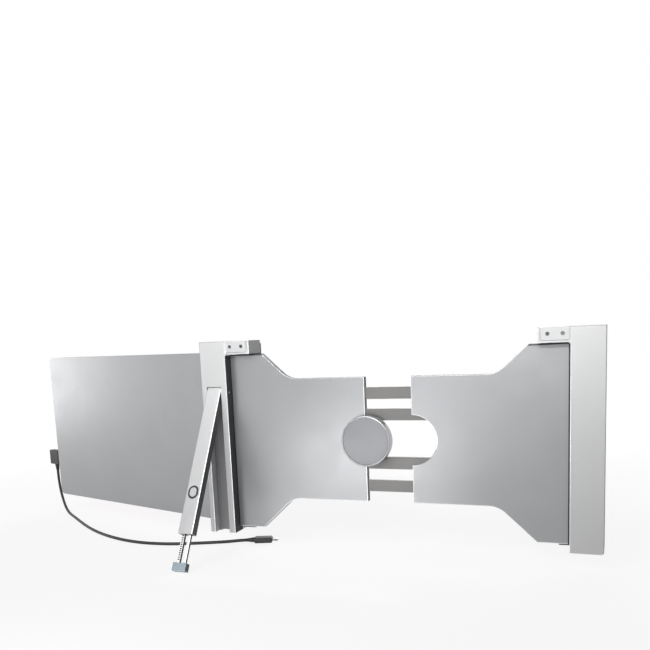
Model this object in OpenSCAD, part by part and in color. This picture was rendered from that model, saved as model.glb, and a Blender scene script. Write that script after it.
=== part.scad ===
// Clip-on screen extender for a laptop lid: two posts joined by a telescoping bracket, a swing-out
// monitor on a vertical hinge, a folding kickstand with a sliding leg, and a USB-C lead.
// Frame: the lid's back rests on the plane y = 0, the knob axis is the Y axis, +Z runs up the posts.

/* [Bracket] */
// Width of the lid between the two posts
lid_w = 349; // [330:1:385]
// Distance from the knob axis to the inner side of the monitor post
hub_to_post = 153.3; // [150:0.1:165]
// Width of each wing plate along the lid
plate_w = 150.4; // [140:0.1:150.5]
// Half height of the inner, narrow part of a wing plate
plate_half_h = 64; // [60:1:72]
// Width of the narrow part, up to the slope
plate_inner_w = 83.8; // [75:0.1:90]
// Angle of the slope that widens the plate towards its post
wing_angle = 42.5; // [38:0.5:50]
// Radius of the fillet where the slope begins
wing_fillet = 24; // [5:1:30]
// How far the wing's bottom edge lies above the posts' foot
wing_lift = 5.5; // [4:0.5:10]
// Rear face of the wing plates behind the lid
plate_back = 8.2; // [8:0.1:12]
// Thickness of the sheet that covers and trays are made of
sheet_t = 1.2; // [1:0.1:1.6]
// Thickness of the rubber pads that touch the lid
pad_t = 1; // [0.6:0.1:2]
// Radius of the half-round notch in the far plate
notch_r = 25.3; // [24:0.1:30]

/* [Rails] */
// Height of a rail
rail_h = 12; // [10:0.5:13]
// Thickness of a rail
rail_t = 3; // [2:0.1:3]
// Height of the outer rails' middle above and below the knob axis
outer_rails_z = 47.5; // [46:0.5:52]
// Length of a rail beyond the far plate's inner edge
rail_out_len = 143; // [120:1:145]
// Length of a rail inside the far plate
rail_in_len = 90; // [60:1:110]
// Rivets that hold each rail to the far tray
rivet_n = 2; // [2:1:4]
// Radius of a rivet
rivet_r = 1.6; // [1.2:0.1:2.5]
// Length of a guide block along a rail
guide_len = 25; // [15:1:30]

/* [Knob drive] */
// Gear module of pinion and toothed rail
gear_m = 0.75; // [0.7:0.05:0.8]
// Number of pinion teeth
pinion_teeth = 48; // [48:4:48]
// Number of teeth on the rail
rack_teeth = 58; // [48:2:64]
// Radius of the knob
knob_r = 25.8; // [23:0.1:28]
// Thickness of the knob
knob_t = 10; // [8:0.5:14]
// Radius of the knob shaft
shaft_r = 4; // [3:0.1:5]
// Radius of the hub lobe that carries the shaft under the knob
lobe_r = 21.8; // [20:0.1:23]

/* [Posts] */
// Depth of the posts' foot below the knob axis
post_drop = 103; // [100:0.5:108]
// Width of a post
post_w = 30.2; // [28:0.1:36]
// Rear face of the posts behind the lid
post_back = 20; // [19:0.5:26]
// Reach of a top arm over the lid
arm_len = 29; // [26:0.5:40]
// Height of a top arm
arm_h = 14; // [13:0.5:14]
// Front face of hooks and lips, ahead of the lid's back
hook_front = 10; // [8:0.1:10]
// Thickness of hooks and lips
hook_t = 2.6; // [2:0.1:3]
// How far a hook reaches down in front of the lid
hook_drop = 4; // [3:0.5:8]
// Reach of a bottom lip in front of the lid
lip_reach = 11.5; // [6:0.5:20]
// Height of a bottom lip and of the lower hinge block
lip_h = 6.5; // [5:0.5:8]
// Distance between the two screws of a hook
hook_screw_gap = 13.2; // [10:0.1:16]
// Wall thickness of the posts
post_wall = 2; // [1.6:0.1:3]

/* [Monitor] */
// Width of the lit picture
picture_w = 309.4; // [290:0.1:345]
// Height of the lit picture
picture_h = 174; // [165:0.1:194]
// Bezel beside the picture
bezel_side = 7.3; // [5:0.1:10]
// Bezel above the picture
bezel_top = 6; // [5:0.1:10]
// Bezel below the picture
bezel_bottom = 9.5; // [6:0.1:14]
// Thickness of the monitor housing
screen_t = 10; // [10:0.1:10.6]
// Corner radius of the housing
screen_corner = 6; // [3:0.5:9]
// Angle of the monitor towards the user, from in line with the lid
swing_rest = 17.4; // [0:0.1:40]
// Hinge axis ahead of the lid's back
hinge_front = 10.5; // [10.5:0.1:11]
// Radius of the hinge column
column_r = 6.2; // [5.5:0.1:6.5]
// Radius of a hinge pin
hinge_pin_r = 2; // [1.5:0.1:2.5]
// Height of the upper hinge block
hinge_block_h = 11.3; // [10:0.1:16]
// Gap from the hinge axis to the housing's inner edge
hinge_gap = 13; // [12:0.5:16]
// Height of the plugged socket above the knob axis
port_z = -40; // [-44:1:-20]

/* [Kickstand] */
// Length of the arm from the slot's top
arm_run = 164.2; // [150:0.1:170]
// Width of the arm
stand_w = 16.4; // [14:0.1:17]
// Thickness of the arm
stand_t = 9; // [8.6:0.1:9]
// Wall of the arm
stand_wall = 1.4; // [1:0.1:1.6]
// Angle of the arm out of its slot
stand_rest = 29; // [0:1:40]
// Radius of the pivot pin
stand_pin_r = 1.5; // [1:0.1:2]
// Top of the slot above the knob axis
slot_top = 57.7; // [50:0.1:62]
// Leg drawn out of the arm, without the foot
leg_out = 29.2; // [14:0.1:38]
// Length of the leg's rods
leg_len = 102; // [92:1:104]
// Height of the foot
foot_h = 8.5; // [6:0.5:12]

/* [Lead] */
// Diameter of the cable
cable_d = 3.6; // [3:0.1:4]

/* [Hidden] */

slip = 0.05;          // running clearance of a round fit, on the radius
seat_gap = 0.1;       // clearance of a piece that drops into a pocket
slide_gap = 0.15;     // clearance of a sliding fit
through = 1;          // how far a cut runs past a face
round_fn = 48;        // sides of round shapes that carry over as true circles

// posts stand as tall as the monitor's housing with its two hinge blocks
hinge_clear = 0.6;    // between the monitor and the hinge blocks
screen_w = picture_w + 2 * bezel_side;
screen_h = bezel_top + picture_h + bezel_bottom;
post_h = lip_h + hinge_clear + screen_h + hinge_clear + hinge_block_h;
post_bottom = -post_drop;
post_top = post_bottom + post_h;
arm_bottom = post_top - arm_h;

// bracket
post_a_x = hub_to_post;
post_b_x = hub_to_post - lid_w;
plate_a_x = post_a_x - plate_w;
plate_b_x = post_b_x + plate_w;
post_mid_a = post_a_x + post_w / 2;
wing_gap = 0.5;       // between a wing's top edge and the arm above it
wing_top = arm_bottom - wing_gap;
wing_bottom = post_bottom + wing_lift;
tray_back = pad_t + sheet_t;
cover_in = plate_back - sheet_t;
tongue_len = 8;
tongue_top = wing_top - 6;
tongue_bottom = wing_bottom + 6;
tongue_screw_z = [-75, -5, 65];
tongue_screw_r = 1.25;
tongue_head_r = 2.4;

// rails and gear
pitch_r = gear_m * pinion_teeth / 2;
gear_pitch = PI * gear_m;
addendum = 0.9 * gear_m;
dedendum = 1.25 * gear_m;
pressure = 20;
backlash = 0.12;
rack_tip_z = -(pitch_r - addendum);
rack_bottom_z = -(pitch_r + rail_h);
upper_rail_z = pitch_r + gear_m + 1 + rail_h / 2;
plain_rails_z = [outer_rails_z, upper_rail_z, -outer_rails_z];
rail_front = (tray_back + cover_in - rail_t) / 2;
rail_back = rail_front + rail_t;
rail_x0 = plate_b_x - rail_in_len;
rail_x1 = plate_b_x + rail_out_len;
guide_x = 24;
guide_wall = 2.2;
rivet_first = 34;     // from the far plate's inner edge to the first rivet
rivet_last = 8;       // from the last rivet to the rail's end
rivet_step = (rail_in_len - rivet_first - rivet_last) / (rivet_n - 1);

// knob
knob_front = plate_back + 0.8;
knob_back = knob_front + knob_t;
knob_wall = 2;
knob_hub_r = shaft_r + 4;
face_r = knob_r - 1.6;
face_t = 1;
face_sink = 0.3;
bush_r = shaft_r + 1.5;
bush_flange_r = shaft_r + 3.2;
bush_flange_t = 0.7;
shaft_flat = shaft_r - 0.8;
hub_pad_r = 12;

// hooks
hook_in = hook_front - hook_t;
hook_pad_t = 0.6;
hook_inset = 0.6;
hook_pocket_x = 2;
hook_pocket_wall = 2;
hook_pocket_back = post_back - 6;
cover_plate_inset = 3;
cover_plate_t = 1.2;
cover_plate_h = 11.8;
cover_plate_r = 2;
hook_screw_r = 1;
hook_head_r = 1.9;
post_front = tray_back;
corner_r = 2.5;       // inner corner of an arm, and outer bottom corner of the far post
front_cover_t = 1.6;

// monitor hinge
hinge_x = post_mid_a;
hinge_y = -hinge_front;
screen_y0 = 0.3;
screen_back = screen_y0 + screen_t;
screen_x0 = hinge_gap;
screen_x1 = hinge_gap + screen_w;
screen_bottom = post_bottom + lip_h + hinge_clear;
screen_top = screen_bottom + screen_h;
block_bottom = screen_top + hinge_clear;
block_front = hinge_front + column_r + 0.8;
washer_t = 1.1;
washer_r = column_r - 0.7;
column_z0 = post_bottom + lip_h + washer_t + 2 * slip;
column_z1 = block_bottom - washer_t - 2 * slip;
pin_in_block = lip_h - 1;
pin_in_column = 20;
flat_y = 5;
leaf_t = 2.2;
leaf_x0 = -3.5;
leaf_lap = 17;        // how far the leaf reaches under the monitor's housing
leaf_x1 = hinge_gap + leaf_lap;
leaf_screw_step = screen_h / 2 - 40;
leaf_screw_edge = 6;
leaf_end = 4;

// monitor housing
bezel_t = 1.6;
back_t = 1.4;
frame_wall = 1.6;
back_rib_t = 0.6;     // rib that centres the back cover in the side frame
frame_y0 = screen_y0 + bezel_t;
frame_y1 = screen_back - back_t;
panel_t = 2.4;
panel_back = frame_y0 + panel_t;
panel_margin = 2;
panel_tray_t = 0.6;
tray_y1 = panel_back + panel_tray_t;
picture_x = (screen_x0 + screen_x1) / 2;
picture_z = screen_bottom + bezel_bottom + picture_h / 2;
usb_w = 9;
usb_h = 3.2;
usb_wall = 0.25;
plug_w = 8.25;
plug_h = 2.4;
socket_y = tray_y1 + 0.1 + usb_h / 2;
socket_x0 = screen_x1 - 8;
socket_x1 = screen_x1 - 0.4;
socket_z = [port_z, port_z - 17.8, port_z - 33];
hdmi_w = 10.6;
button_z = screen_top - 33;
button_w = 8;
button_h = 2.4;
light_z = screen_top - 41;
light_r = 0.8;
board_y0 = frame_y1 - 1.5;
board_t = 1;
board_x1 = screen_x1 - frame_wall - 1.2;
board_w = 72;
board_strip = 15;
key_room = 1.2;       // how far the board stays back from the power key
chip_x = board_x1 - board_w + 12;
chip_w = 18;

// kickstand, drawn folded about its pivot and then turned out
stand_x = post_mid_a + 0.9;
slot_w = stand_w + 1;
slot_corner = 1.2;
slot_front = post_back - stand_t - 1.5;
pivot_y = post_back - stand_t / 2 - 0.3;
pivot_drop = 6;
pivot_z = slot_top - pivot_drop;
stand_top = 5;
stand_end = -(arm_run - pivot_drop);
stand_half = stand_t / 2;
stand_in = stand_w / 2 - stand_wall;
rear_in = stand_half - stand_wall;
stand_solid = 2.5;
inner_cover_t = 1.2;
leg_y0 = -2.2;
leg_y1 = 1;
rod_w = 3.3;
rod_gap = 3.8;
leg_half = rod_gap / 2 + rod_w;
leg_z0 = stand_end - leg_out;
leg_z1 = leg_z0 + leg_len;
bridge_h = 3;
rod_top = leg_z1 - bridge_h;
hole_n = 41;
hole_pitch = 2.2;
hole_w = 1.9;
hole_h = 1.2;
hole_first = 3;
guide_h = 12;
foot_w = 15.6;
foot_depth = 7.2;
sole_t = 1.2;
cap_w = 7.4;
cap_h = 9.9;
rim_t = 1.6;
button_up = 43.9;     // from the arm's lower end to the middle of the release button
button_drop = arm_run - pivot_drop - button_up;
button_proud = 0.5;
button_travel = 1.2;
pawl_t = 0.7;
pawl_front = leg_y0 - 0.3 - pawl_t;
stem_w = 3;
latch_h = 12;
latch_back = leg_y1 + button_travel + 0.3;

// lead, in the monitor's own directions about the hinge axis
angle_body_w = 21;
angle_body_y = 8.4;
angle_x0 = screen_x1 + 0.3;
angle_mid = angle_x0 + angle_body_w / 2;
angle_top = port_z + 5;
angle_bottom = port_z - 15;
boot_len = 9;
boot_r = 3.2;
plug_reach = 7;
floor_z = -121.2;
cable_r = cable_d / 2;
straight_turn = 217;
straight_body = 20;
straight_boot = 9;
straight_w = 11;
straight_t = 6.4;
lying_z = floor_z + cable_r;
plug_axis_z = floor_z + straight_t / 2;
boot_end = angle_bottom - boot_len;
cable_end = [-15, -0.6];
cable_route = [[angle_mid, socket_y, boot_end], [angle_mid, socket_y, boot_end - 6],
               [346.6, 6.9, lying_z + 38], [343, 7.8, lying_z + 26],
               [336.4, 9.6, lying_z + 15], [327, 12.7, lying_z + 6.7],
               [315.4, 16.6, lying_z + 1.7], [302.5, 21.2, lying_z], [277, 30.6, lying_z],
               [250, 40.6, lying_z], [222, 50.6, lying_z], [194, 59, lying_z],
               [166, 65.2, lying_z], [138, 68.6, lying_z], [111, 68.8, lying_z],
               [86, 64.8, lying_z], [64, 56.8, lying_z], [46, 46.6, lying_z],
               [30.5, 35, lying_z], [16.5, 23.6, lying_z], [3, 13, lying_z + 0.3],
               [-8, 4.7, lying_z + 1.1], [cable_end[0], cable_end[1], plug_axis_z]];

// ---- shared shapes ----

// a flat shape in X and Z, drawn as a slab from y0 to y1
module slab(y0, y1) {
    translate([0, y1, 0]) rotate([90, 0, 0]) linear_extrude(y1 - y0) children();
}

// a flat shape in Y and Z, drawn as a bar from x0 to x1
module bar(x0, x1) {
    translate([x0, 0, 0]) rotate([90, 0, 90]) linear_extrude(x1 - x0) children();
}

// a box between two corners
module block(low, high) {
    translate(low) cube(high - low);
}

// a round bar along Y, X or Z
module rod_y(r, y0, y1) {
    translate([0, y1, 0]) rotate([90, 0, 0]) cylinder(r = r, h = y1 - y0, $fn = round_fn);
}

module rod_x(r, x0, x1) {
    translate([x0, 0, 0]) rotate([0, 90, 0]) cylinder(r = r, h = x1 - x0, $fn = round_fn);
}

module rod_z(r, z0, z1) {
    translate([0, 0, z0]) cylinder(r = r, h = z1 - z0, $fn = round_fn);
}

// a slot shape with round ends, long along the second direction
module stadium(w, h) {
    r = min(w, h) / 2;
    square([w - (w > h ? 2 * r : 0), h - (w > h ? 0 : 2 * r)], center = true);
    for (side = [-1, 1])
        translate([w > h ? side * (w / 2 - r) : 0, w > h ? 0 : side * (h / 2 - r)])
            circle(r = r, $fn = round_fn);
}

// a rectangle with round corners, centred
module round_rect(w, h, r) {
    square([w - 2 * r, h], center = true);
    square([w, h - 2 * r], center = true);
    for (x = [-1, 1], z = [-1, 1])
        translate([x * (w / 2 - r), z * (h / 2 - r)]) circle(r = r, $fn = round_fn);
}

module in_monitor() {
    translate([hinge_x, hinge_y, 0]) rotate([0, 0, -swing_rest]) children();
}

module in_stand() {
    translate([stand_x, pivot_y, pivot_z]) rotate([stand_rest, 0, 0]) children();
}

// places the far post's and plate's shapes, which are drawn from the inner side outwards
module far_side(x) {
    translate([x, 0, 0]) mirror([1, 0, 0]) children();
}

// ---- wing plates ----

// outline of a wing plate, from its inner edge outwards, drawn in by d all round
function wing_curve(d, side, n = 6) = let (r = wing_fillet + d,
    cx = plate_inner_w - wing_fillet * tan(wing_angle / 2), cz = plate_half_h + wing_fillet)
    [for (i = [0:n]) let (a = -90 + wing_angle * i / n)
        [cx + r * cos(a), side * (cz + r * sin(a))]];

function slope_x(d, z) = plate_inner_w + d * tan(wing_angle / 2)
    + (z - (plate_half_h - d)) / tan(wing_angle);

module wing_outline(d, outer = 0) {
    polygon(concat(
        [[d, -plate_half_h + d]],
        wing_curve(d, -1),
        [[slope_x(d, -wing_bottom - d), wing_bottom + d], [plate_w - d + outer, wing_bottom + d],
         [plate_w - d + outer, wing_top - d], [slope_x(d, wing_top - d), wing_top - d]],
        [for (i = [6:-1:0]) wing_curve(d, 1)[i]],
        [[d, plate_half_h - d]]));
}

// windows for the four rails through a plate's inner rim
module rail_windows(x0, x1) {
    for (z = plain_rails_z)
        block([x0, rail_front - slide_gap, z - rail_h / 2 - slide_gap],
              [x1, rail_back + slide_gap, z + rail_h / 2 + slide_gap]);
    block([x0, rail_front - slide_gap, rack_bottom_z - slide_gap],
          [x1, rail_back + slide_gap, rack_tip_z + slide_gap]);
}

module tray_tongue() {
    block([plate_w - sheet_t - seat_gap, pad_t, tongue_bottom],
          [plate_w + tongue_len, tray_back, tongue_top]);
}

module tongue_screws() {
    for (z = tongue_screw_z) translate([plate_w + tongue_len / 2, 0, z]) {
        rod_y(tongue_screw_r, tray_back - sheet_t / 2, tray_back + 5);
        rod_y(tongue_head_r, pad_t - 0.3, tray_back - sheet_t / 2);
    }
}

module tongue_screw_holes() {
    for (z = tongue_screw_z) translate([plate_w + tongue_len / 2, 0, z]) {
        rod_y(tongue_screw_r, 0, tray_back + 5);
        rod_y(tongue_head_r, 0, tray_back - sheet_t / 2);
    }
}

module plate_a_cover() {
    color("silver") difference() {
        union() {
            translate([plate_a_x, 0, 0]) slab(pad_t, plate_back) wing_outline(0);
            rod_y(lobe_r, cover_in, plate_back);
        }
        translate([plate_a_x, 0, 0])
            slab(pad_t - through, cover_in) wing_outline(sheet_t, sheet_t + through);
        rail_windows(plate_a_x - through, plate_a_x + sheet_t + through);
        rod_y(pitch_r + addendum + 0.6, tray_back, cover_in);
        rod_y(lobe_r + seat_gap, 0, tray_back);
        rod_y(bush_r, 0, plate_back + through);
    }
}

module plate_a_tray() {
    color("dimgray") difference() {
        union() {
            translate([plate_a_x, 0, 0])
                slab(pad_t, tray_back) wing_outline(sheet_t + seat_gap, sheet_t + seat_gap);
            translate([plate_a_x, 0, 0]) tray_tongue();
            rod_y(lobe_r, pad_t, tray_back);
        }
        translate([plate_a_x, 0, 0]) tongue_screw_holes();
        rod_y(bush_r, 0, tray_back + through);
    }
}

module rail_guides() {
    color("whitesmoke") for (z = concat(plain_rails_z, [(rack_tip_z + rack_bottom_z) / 2])) {
        half = z == (rack_tip_z + rack_bottom_z) / 2 ? (rack_tip_z - rack_bottom_z) / 2
                                                    : rail_h / 2;
        difference() {
            block([guide_x, tray_back, z - half - guide_wall],
                  [guide_x + guide_len, cover_in, z + half + guide_wall]);
            block([guide_x - through, rail_front - slide_gap, z - half - slide_gap],
                  [guide_x + guide_len + through, rail_back + slide_gap, z + half + slide_gap]);
        }
    }
}

module hub_bushes() {
    color("khaki") {
        difference() {
            union() {
                rod_y(bush_r, cover_in, plate_back);
                rod_y(bush_flange_r, cover_in - bush_flange_t, cover_in);
            }
            rod_y(shaft_r + slip, 0, plate_back + through);
        }
        difference() {
            union() {
                rod_y(bush_r, pad_t, tray_back);
                rod_y(bush_flange_r, tray_back, tray_back + bush_flange_t);
            }
            rod_y(shaft_r + slip, 0, plate_back);
        }
    }
}

// rubber pads between a tray and the lid
module tray_pads() {
    pad_w = 10;
    pad_inset = 14;
    for (z = [-1, 1]) {
        block([pad_inset, 0, z * (plate_half_h - 12) - pad_w / 2],
              [plate_inner_w - pad_inset, pad_t, z * (plate_half_h - 12) + pad_w / 2]);
    }
    block([plate_w - pad_w - 12, 0, -plate_half_h], [plate_w - 12, pad_t, plate_half_h]);
}

module plate_a_pads() {
    color("black") {
        rod_y(hub_pad_r, 0, pad_t);
        translate([plate_a_x, 0, 0]) tray_pads();
    }
}

// ---- monitor post ----

module hook_arm_cuts(x_end) {
    // pocket for the hook's body, recess for the cover plate, and the two screw holes
    x_out = x_end + arm_len;
    block([x_end + hook_pocket_x, -hook_front, arm_bottom + hook_pocket_wall],
          [x_out - hook_pocket_x, hook_pocket_back, post_top - hook_pocket_wall]);
    translate([x_end, 0, 0]) slab(post_back - cover_plate_t, post_back + through)
        cover_plate_outline(0);
    for (side = [-1, 1])
        translate([hook_screw_mid(x_end) + side * hook_screw_gap / 2, 0, hook_screw_z])
            rod_y(hook_screw_r, 0, post_back);
}

// outline of a cover plate from the arm's free end, drawn in by d, round at its lower corners
module cover_plate_outline(d) {
    x0 = cover_plate_inset + d;
    x1 = arm_len - hook_inset - d;
    z0 = post_top - cover_plate_h + d;
    r = cover_plate_r - d;
    z1 = d > 0 ? post_top : post_top + through;
    translate([x0, z0 + r]) square([x1 - x0, z1 - z0 - r]);
    translate([x0 + r, z0]) square([x1 - x0 - 2 * r, r + seat_gap]);
    for (x = [x0 + r, x1 - r]) translate([x, z0 + r]) circle(r = r, $fn = round_fn);
}

function hook_screw_mid(x_end) = x_end + (cover_plate_inset + arm_len - hook_inset) / 2;
hook_screw_z = post_top - cover_plate_h / 2;

// fillet under an arm, behind the plate
module arm_corner(x, side) {
    translate([x, 0, arm_bottom]) scale([side, 1, 1]) slab(plate_back + seat_gap, post_back)
        difference() {
            translate([-corner_r, -corner_r]) square(corner_r + seat_gap);
            translate([-corner_r, -corner_r]) circle(r = corner_r, $fn = round_fn);
        }
}

// the kickstand's slot, with round upper corners
module stand_slot() {
    translate([stand_x - slot_w / 2, post_bottom - through])
        square([slot_w, slot_top - slot_corner - post_bottom + through]);
    translate([stand_x - slot_w / 2 + slot_corner, slot_top - 2 * slot_corner])
        square([slot_w - 2 * slot_corner, 2 * slot_corner]);
    for (side = [-1, 1])
        translate([stand_x + side * (slot_w / 2 - slot_corner), slot_top - slot_corner])
            circle(r = slot_corner, $fn = round_fn);
}

module post_a_housing() {
    x0 = post_a_x;
    x1 = post_a_x + post_w;
    pocket_x0 = post_a_x + tongue_len + 3;
    color("gainsboro") difference() {
        union() {
            block([x0, post_front, post_bottom], [x1, post_back, post_top]);
            block([x0 - arm_len, -hook_in, arm_bottom], [x0 + seat_gap, post_back, post_top]);
            block([x0, -hook_in, block_bottom], [x0 + 3, post_front + through, post_top]);
            arm_corner(x0, 1);
        }
        hook_arm_cuts(x0 - arm_len);
        slab(slot_front, post_back + through) stand_slot();
        block([pocket_x0, 0, post_bottom + 8], [x1 - post_wall, slot_front - post_wall, post_top - 17]);
        block([stand_x - slot_w / 2, slot_front - 4, post_bottom - through],
              [stand_x + slot_w / 2 - 2.5, post_back, post_bottom + 2.2]);
        translate([0, pivot_y, pivot_z]) rod_x(stand_pin_r, x0 - through, x1 - post_wall);
        translate([plate_a_x, 0, 0]) for (z = tongue_screw_z)
            translate([plate_w + tongue_len / 2, 0, z]) rod_y(tongue_screw_r, 0, tray_back + 5);
    }
    color("gainsboro")
        block([stand_x + slot_w / 2 - 2.5, slot_front, post_bottom],
              [stand_x + slot_w / 2, slot_front + 0.8, slot_top - 20]);
}

module post_a_front_cover() {
    x0 = post_a_x + tongue_len + 0.3;
    color([0.08, 0.08, 0.09]) difference() {
        block([x0, post_front - front_cover_t, post_bottom + lip_h + seat_gap],
              [post_a_x + post_w, post_front, block_bottom - seat_gap]);
        block([x0 + 3, post_front - 0.8, post_bottom + 12],
              [post_a_x + post_w - 2, post_front + through, block_bottom - 12]);
    }
}

module hinge_block_top() {
    color("gainsboro") difference() {
        block([post_a_x + 3.1, -block_front, block_bottom],
              [post_a_x + post_w, post_front, post_top]);
        translate([hinge_x, hinge_y, 0]) rod_z(hinge_pin_r, block_bottom - through,
                                               block_bottom + pin_in_block + 4);
    }
}

module hinge_block_bottom() {
    color("gainsboro") difference() {
        union() {
            block([post_a_x, -block_front, post_bottom],
                  [post_a_x + post_w, post_front, post_bottom + lip_h]);
            block([post_a_x - lip_reach, -hook_front, post_bottom],
                  [post_a_x + through, -hook_in, post_bottom + lip_h]);
        }
        translate([hinge_x, hinge_y, 0])
            rod_z(hinge_pin_r, post_bottom + lip_h - pin_in_block, post_bottom + lip_h + through);
        block([post_a_x - through, pad_t - seat_gap, tongue_bottom - seat_gap],
              [post_a_x + tongue_len + seat_gap, tray_back + through, post_top]);
    }
}

module hinge_pins() {
    color("darkgray") translate([hinge_x, hinge_y, 0]) {
        rod_z(hinge_pin_r, column_z1 - pin_in_column, block_bottom + pin_in_block + 4);
        rod_z(hinge_pin_r, post_bottom + lip_h - pin_in_block, column_z0 + pin_in_column);
    }
}

module hinge_washers() {
    color("gray") translate([hinge_x, hinge_y, 0]) for (z = [column_z0 - washer_t - slip,
                                                             column_z1 + slip])
        difference() {
            rod_z(washer_r, z, z + washer_t);
            rod_z(hinge_pin_r + slip, z - through, z + washer_t + through);
        }
}

// hook that hangs in front of the lid, from the free end of an arm
module hook_body() {
    block([hook_pocket_x + seat_gap, -hook_in, arm_bottom + hook_pocket_wall + seat_gap],
          [arm_len - hook_pocket_x - seat_gap, hook_pocket_back - seat_gap,
           post_top - hook_pocket_wall - seat_gap]);
    block([0, -hook_front, arm_bottom - hook_drop],
          [arm_len - 0.4, -hook_in, post_top - 3.2]);
}

module hook_pilots() {
    for (side = [-1, 1])
        translate([hook_screw_mid(0) + side * hook_screw_gap / 2, 0, hook_screw_z])
            rod_y(hook_screw_r, hook_pocket_back - 8, post_back);
}

module hook_pad_shape() {
    block([1.5, -hook_in, arm_bottom - hook_drop + 0.3],
          [arm_len - 2, -hook_in + hook_pad_t, arm_bottom - seat_gap]);
}

module cover_plate_shape() {
    difference() {
        slab(post_back - cover_plate_t, post_back) cover_plate_outline(seat_gap);
        for (side = [-1, 1])
            translate([hook_screw_mid(0) + side * hook_screw_gap / 2, 0, hook_screw_z]) {
                rod_y(hook_screw_r, 0, post_back + through);
                rod_y(hook_head_r, post_back - 0.9, post_back + through);
            }
    }
}

module hook_screws_shape() {
    for (side = [-1, 1])
        translate([hook_screw_mid(0) + side * hook_screw_gap / 2, 0, hook_screw_z]) {
            rod_y(hook_screw_r, hook_pocket_back - 8, post_back - 0.9);
            difference() {
                rod_y(hook_head_r - slip, post_back - 0.9, post_back - 0.2);
                translate([0, post_back - 0.65, 0]) rotate([-90, 0, 0])
                    cylinder(r = 0.9, h = 1, $fn = 6);
            }
        }
}

module hook_a() {
    color([0.05, 0.05, 0.05]) translate([post_a_x - arm_len, 0, 0]) difference() {
        hook_body();
        hook_pilots();
    }
}

module hook_a_pad() {
    color("black") {
        translate([post_a_x - arm_len, 0, 0]) hook_pad_shape();
        block([post_a_x - lip_reach + 0.5, -hook_in, post_bottom + 0.5],
              [post_a_x, -hook_in + hook_pad_t, post_bottom + lip_h - 0.5]);
    }
}

module hook_a_cover_plate() {
    color("gainsboro") translate([post_a_x - arm_len, 0, 0]) cover_plate_shape();
}

module post_a_screws() {
    color("gray") {
        translate([post_a_x - arm_len, 0, 0]) hook_screws_shape();
        translate([plate_a_x, 0, 0]) tongue_screws();
    }
}

module kickstand_pin() {
    color("darkgray") translate([0, pivot_y, pivot_z])
        rod_x(stand_pin_r, post_a_x + 0.5, post_a_x + post_w - post_wall - 0.2);
}

module kickstand_washers() {
    color("khaki") translate([stand_x, pivot_y, pivot_z]) for (side = [-1, 1])
        difference() {
            rod_x(stand_pin_r + 2.2, side > 0 ? stand_w / 2 + slip : -slot_w / 2,
                  side > 0 ? slot_w / 2 : -stand_w / 2 - slip);
            rod_x(stand_pin_r + slip, -slot_w, slot_w);
        }
}

// ---- knob and pinion ----

module shaft_section() {
    intersection() {
        circle(r = shaft_r, $fn = round_fn);
        translate([-shaft_r, -shaft_r]) square([2 * shaft_r, shaft_r + shaft_flat]);
    }
}

module knob_body() {
    color("darkgray") difference() {
        union() {
            rod_y(knob_r, knob_front, knob_back - 1);
            rod_y(knob_r - 0.6, knob_back - 1, knob_back);
        }
        difference() {
            rod_y(knob_r - knob_wall, knob_front - through, knob_back - face_t - 2.4);
            rod_y(knob_hub_r, knob_front - 2 * through, knob_back);
        }
        rod_y(face_r, knob_back - face_t - face_sink, knob_back + through);
        slab(knob_front - through, knob_back - face_t - 1.6) shaft_section();
    }
}

module knob_face() {
    color("gray") rod_y(face_r - slip, knob_back - face_t - face_sink, knob_back - face_sink);
}

module knob_washer() {
    color("white") difference() {
        rod_y(shaft_r + 9, plate_back + slip, knob_front - slip);
        rod_y(shaft_r + slip, 0, knob_back);
    }
}

module knob_shaft() {
    color("darkgray") slab(pad_t + 0.3, knob_back - face_t - 1.6) shaft_section();
}

// involute flank of the pinion
base_r = pitch_r * cos(pressure);
function inv_point(t) = [base_r * (cos(t) + t * PI / 180 * sin(t)),
                         base_r * (sin(t) - t * PI / 180 * cos(t))];
function turn(p, a) = [p[0] * cos(a) - p[1] * sin(a), p[0] * sin(a) + p[1] * cos(a)];
tip_r = pitch_r + addendum;
root_r = pitch_r - dedendum;
tip_t = sqrt(pow(tip_r / base_r, 2) - 1) * 180 / PI;
inv_pitch = tan(pressure) * 180 / PI - pressure;
half_tooth = 90 / pinion_teeth - (backlash / 2) / pitch_r * 180 / PI;
flank_n = 4;
function tooth_side(side) = [for (i = [0:flank_n])
    let (p = turn(inv_point(tip_t * i / flank_n), -half_tooth - inv_pitch))
        [p[0], side * p[1]]];

module pinion_outline() {
    circle(r = root_r, $fn = 72);
    for (k = [0:pinion_teeth - 1]) rotate(90 + k * 360 / pinion_teeth)
        polygon(concat([[root_r - 0.4, -root_r * sin(half_tooth + inv_pitch)]],
                       tooth_side(1),
                       [for (i = [flank_n:-1:0]) tooth_side(-1)[i]],
                       [[root_r - 0.4, root_r * sin(half_tooth + inv_pitch)]]));
}

module pinion() {
    color("goldenrod") difference() {
        slab(rail_front + 0.1, rail_back - 0.1) pinion_outline();
        slab(0, plate_back) shaft_section();
    }
}

// ---- far plate and rails ----

module plate_b_cover() {
    color("silver") far_side(plate_b_x) difference() {
        slab(pad_t, plate_back) wing_outline(0);
        difference() {
            slab(pad_t - through, cover_in) wing_outline(sheet_t, sheet_t + through);
            rod_y(notch_r + sheet_t, 0, plate_back);
        }
        rod_y(notch_r, 0, plate_back + through);
        rail_windows(-through, notch_r + sheet_t + through);
    }
}

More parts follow.
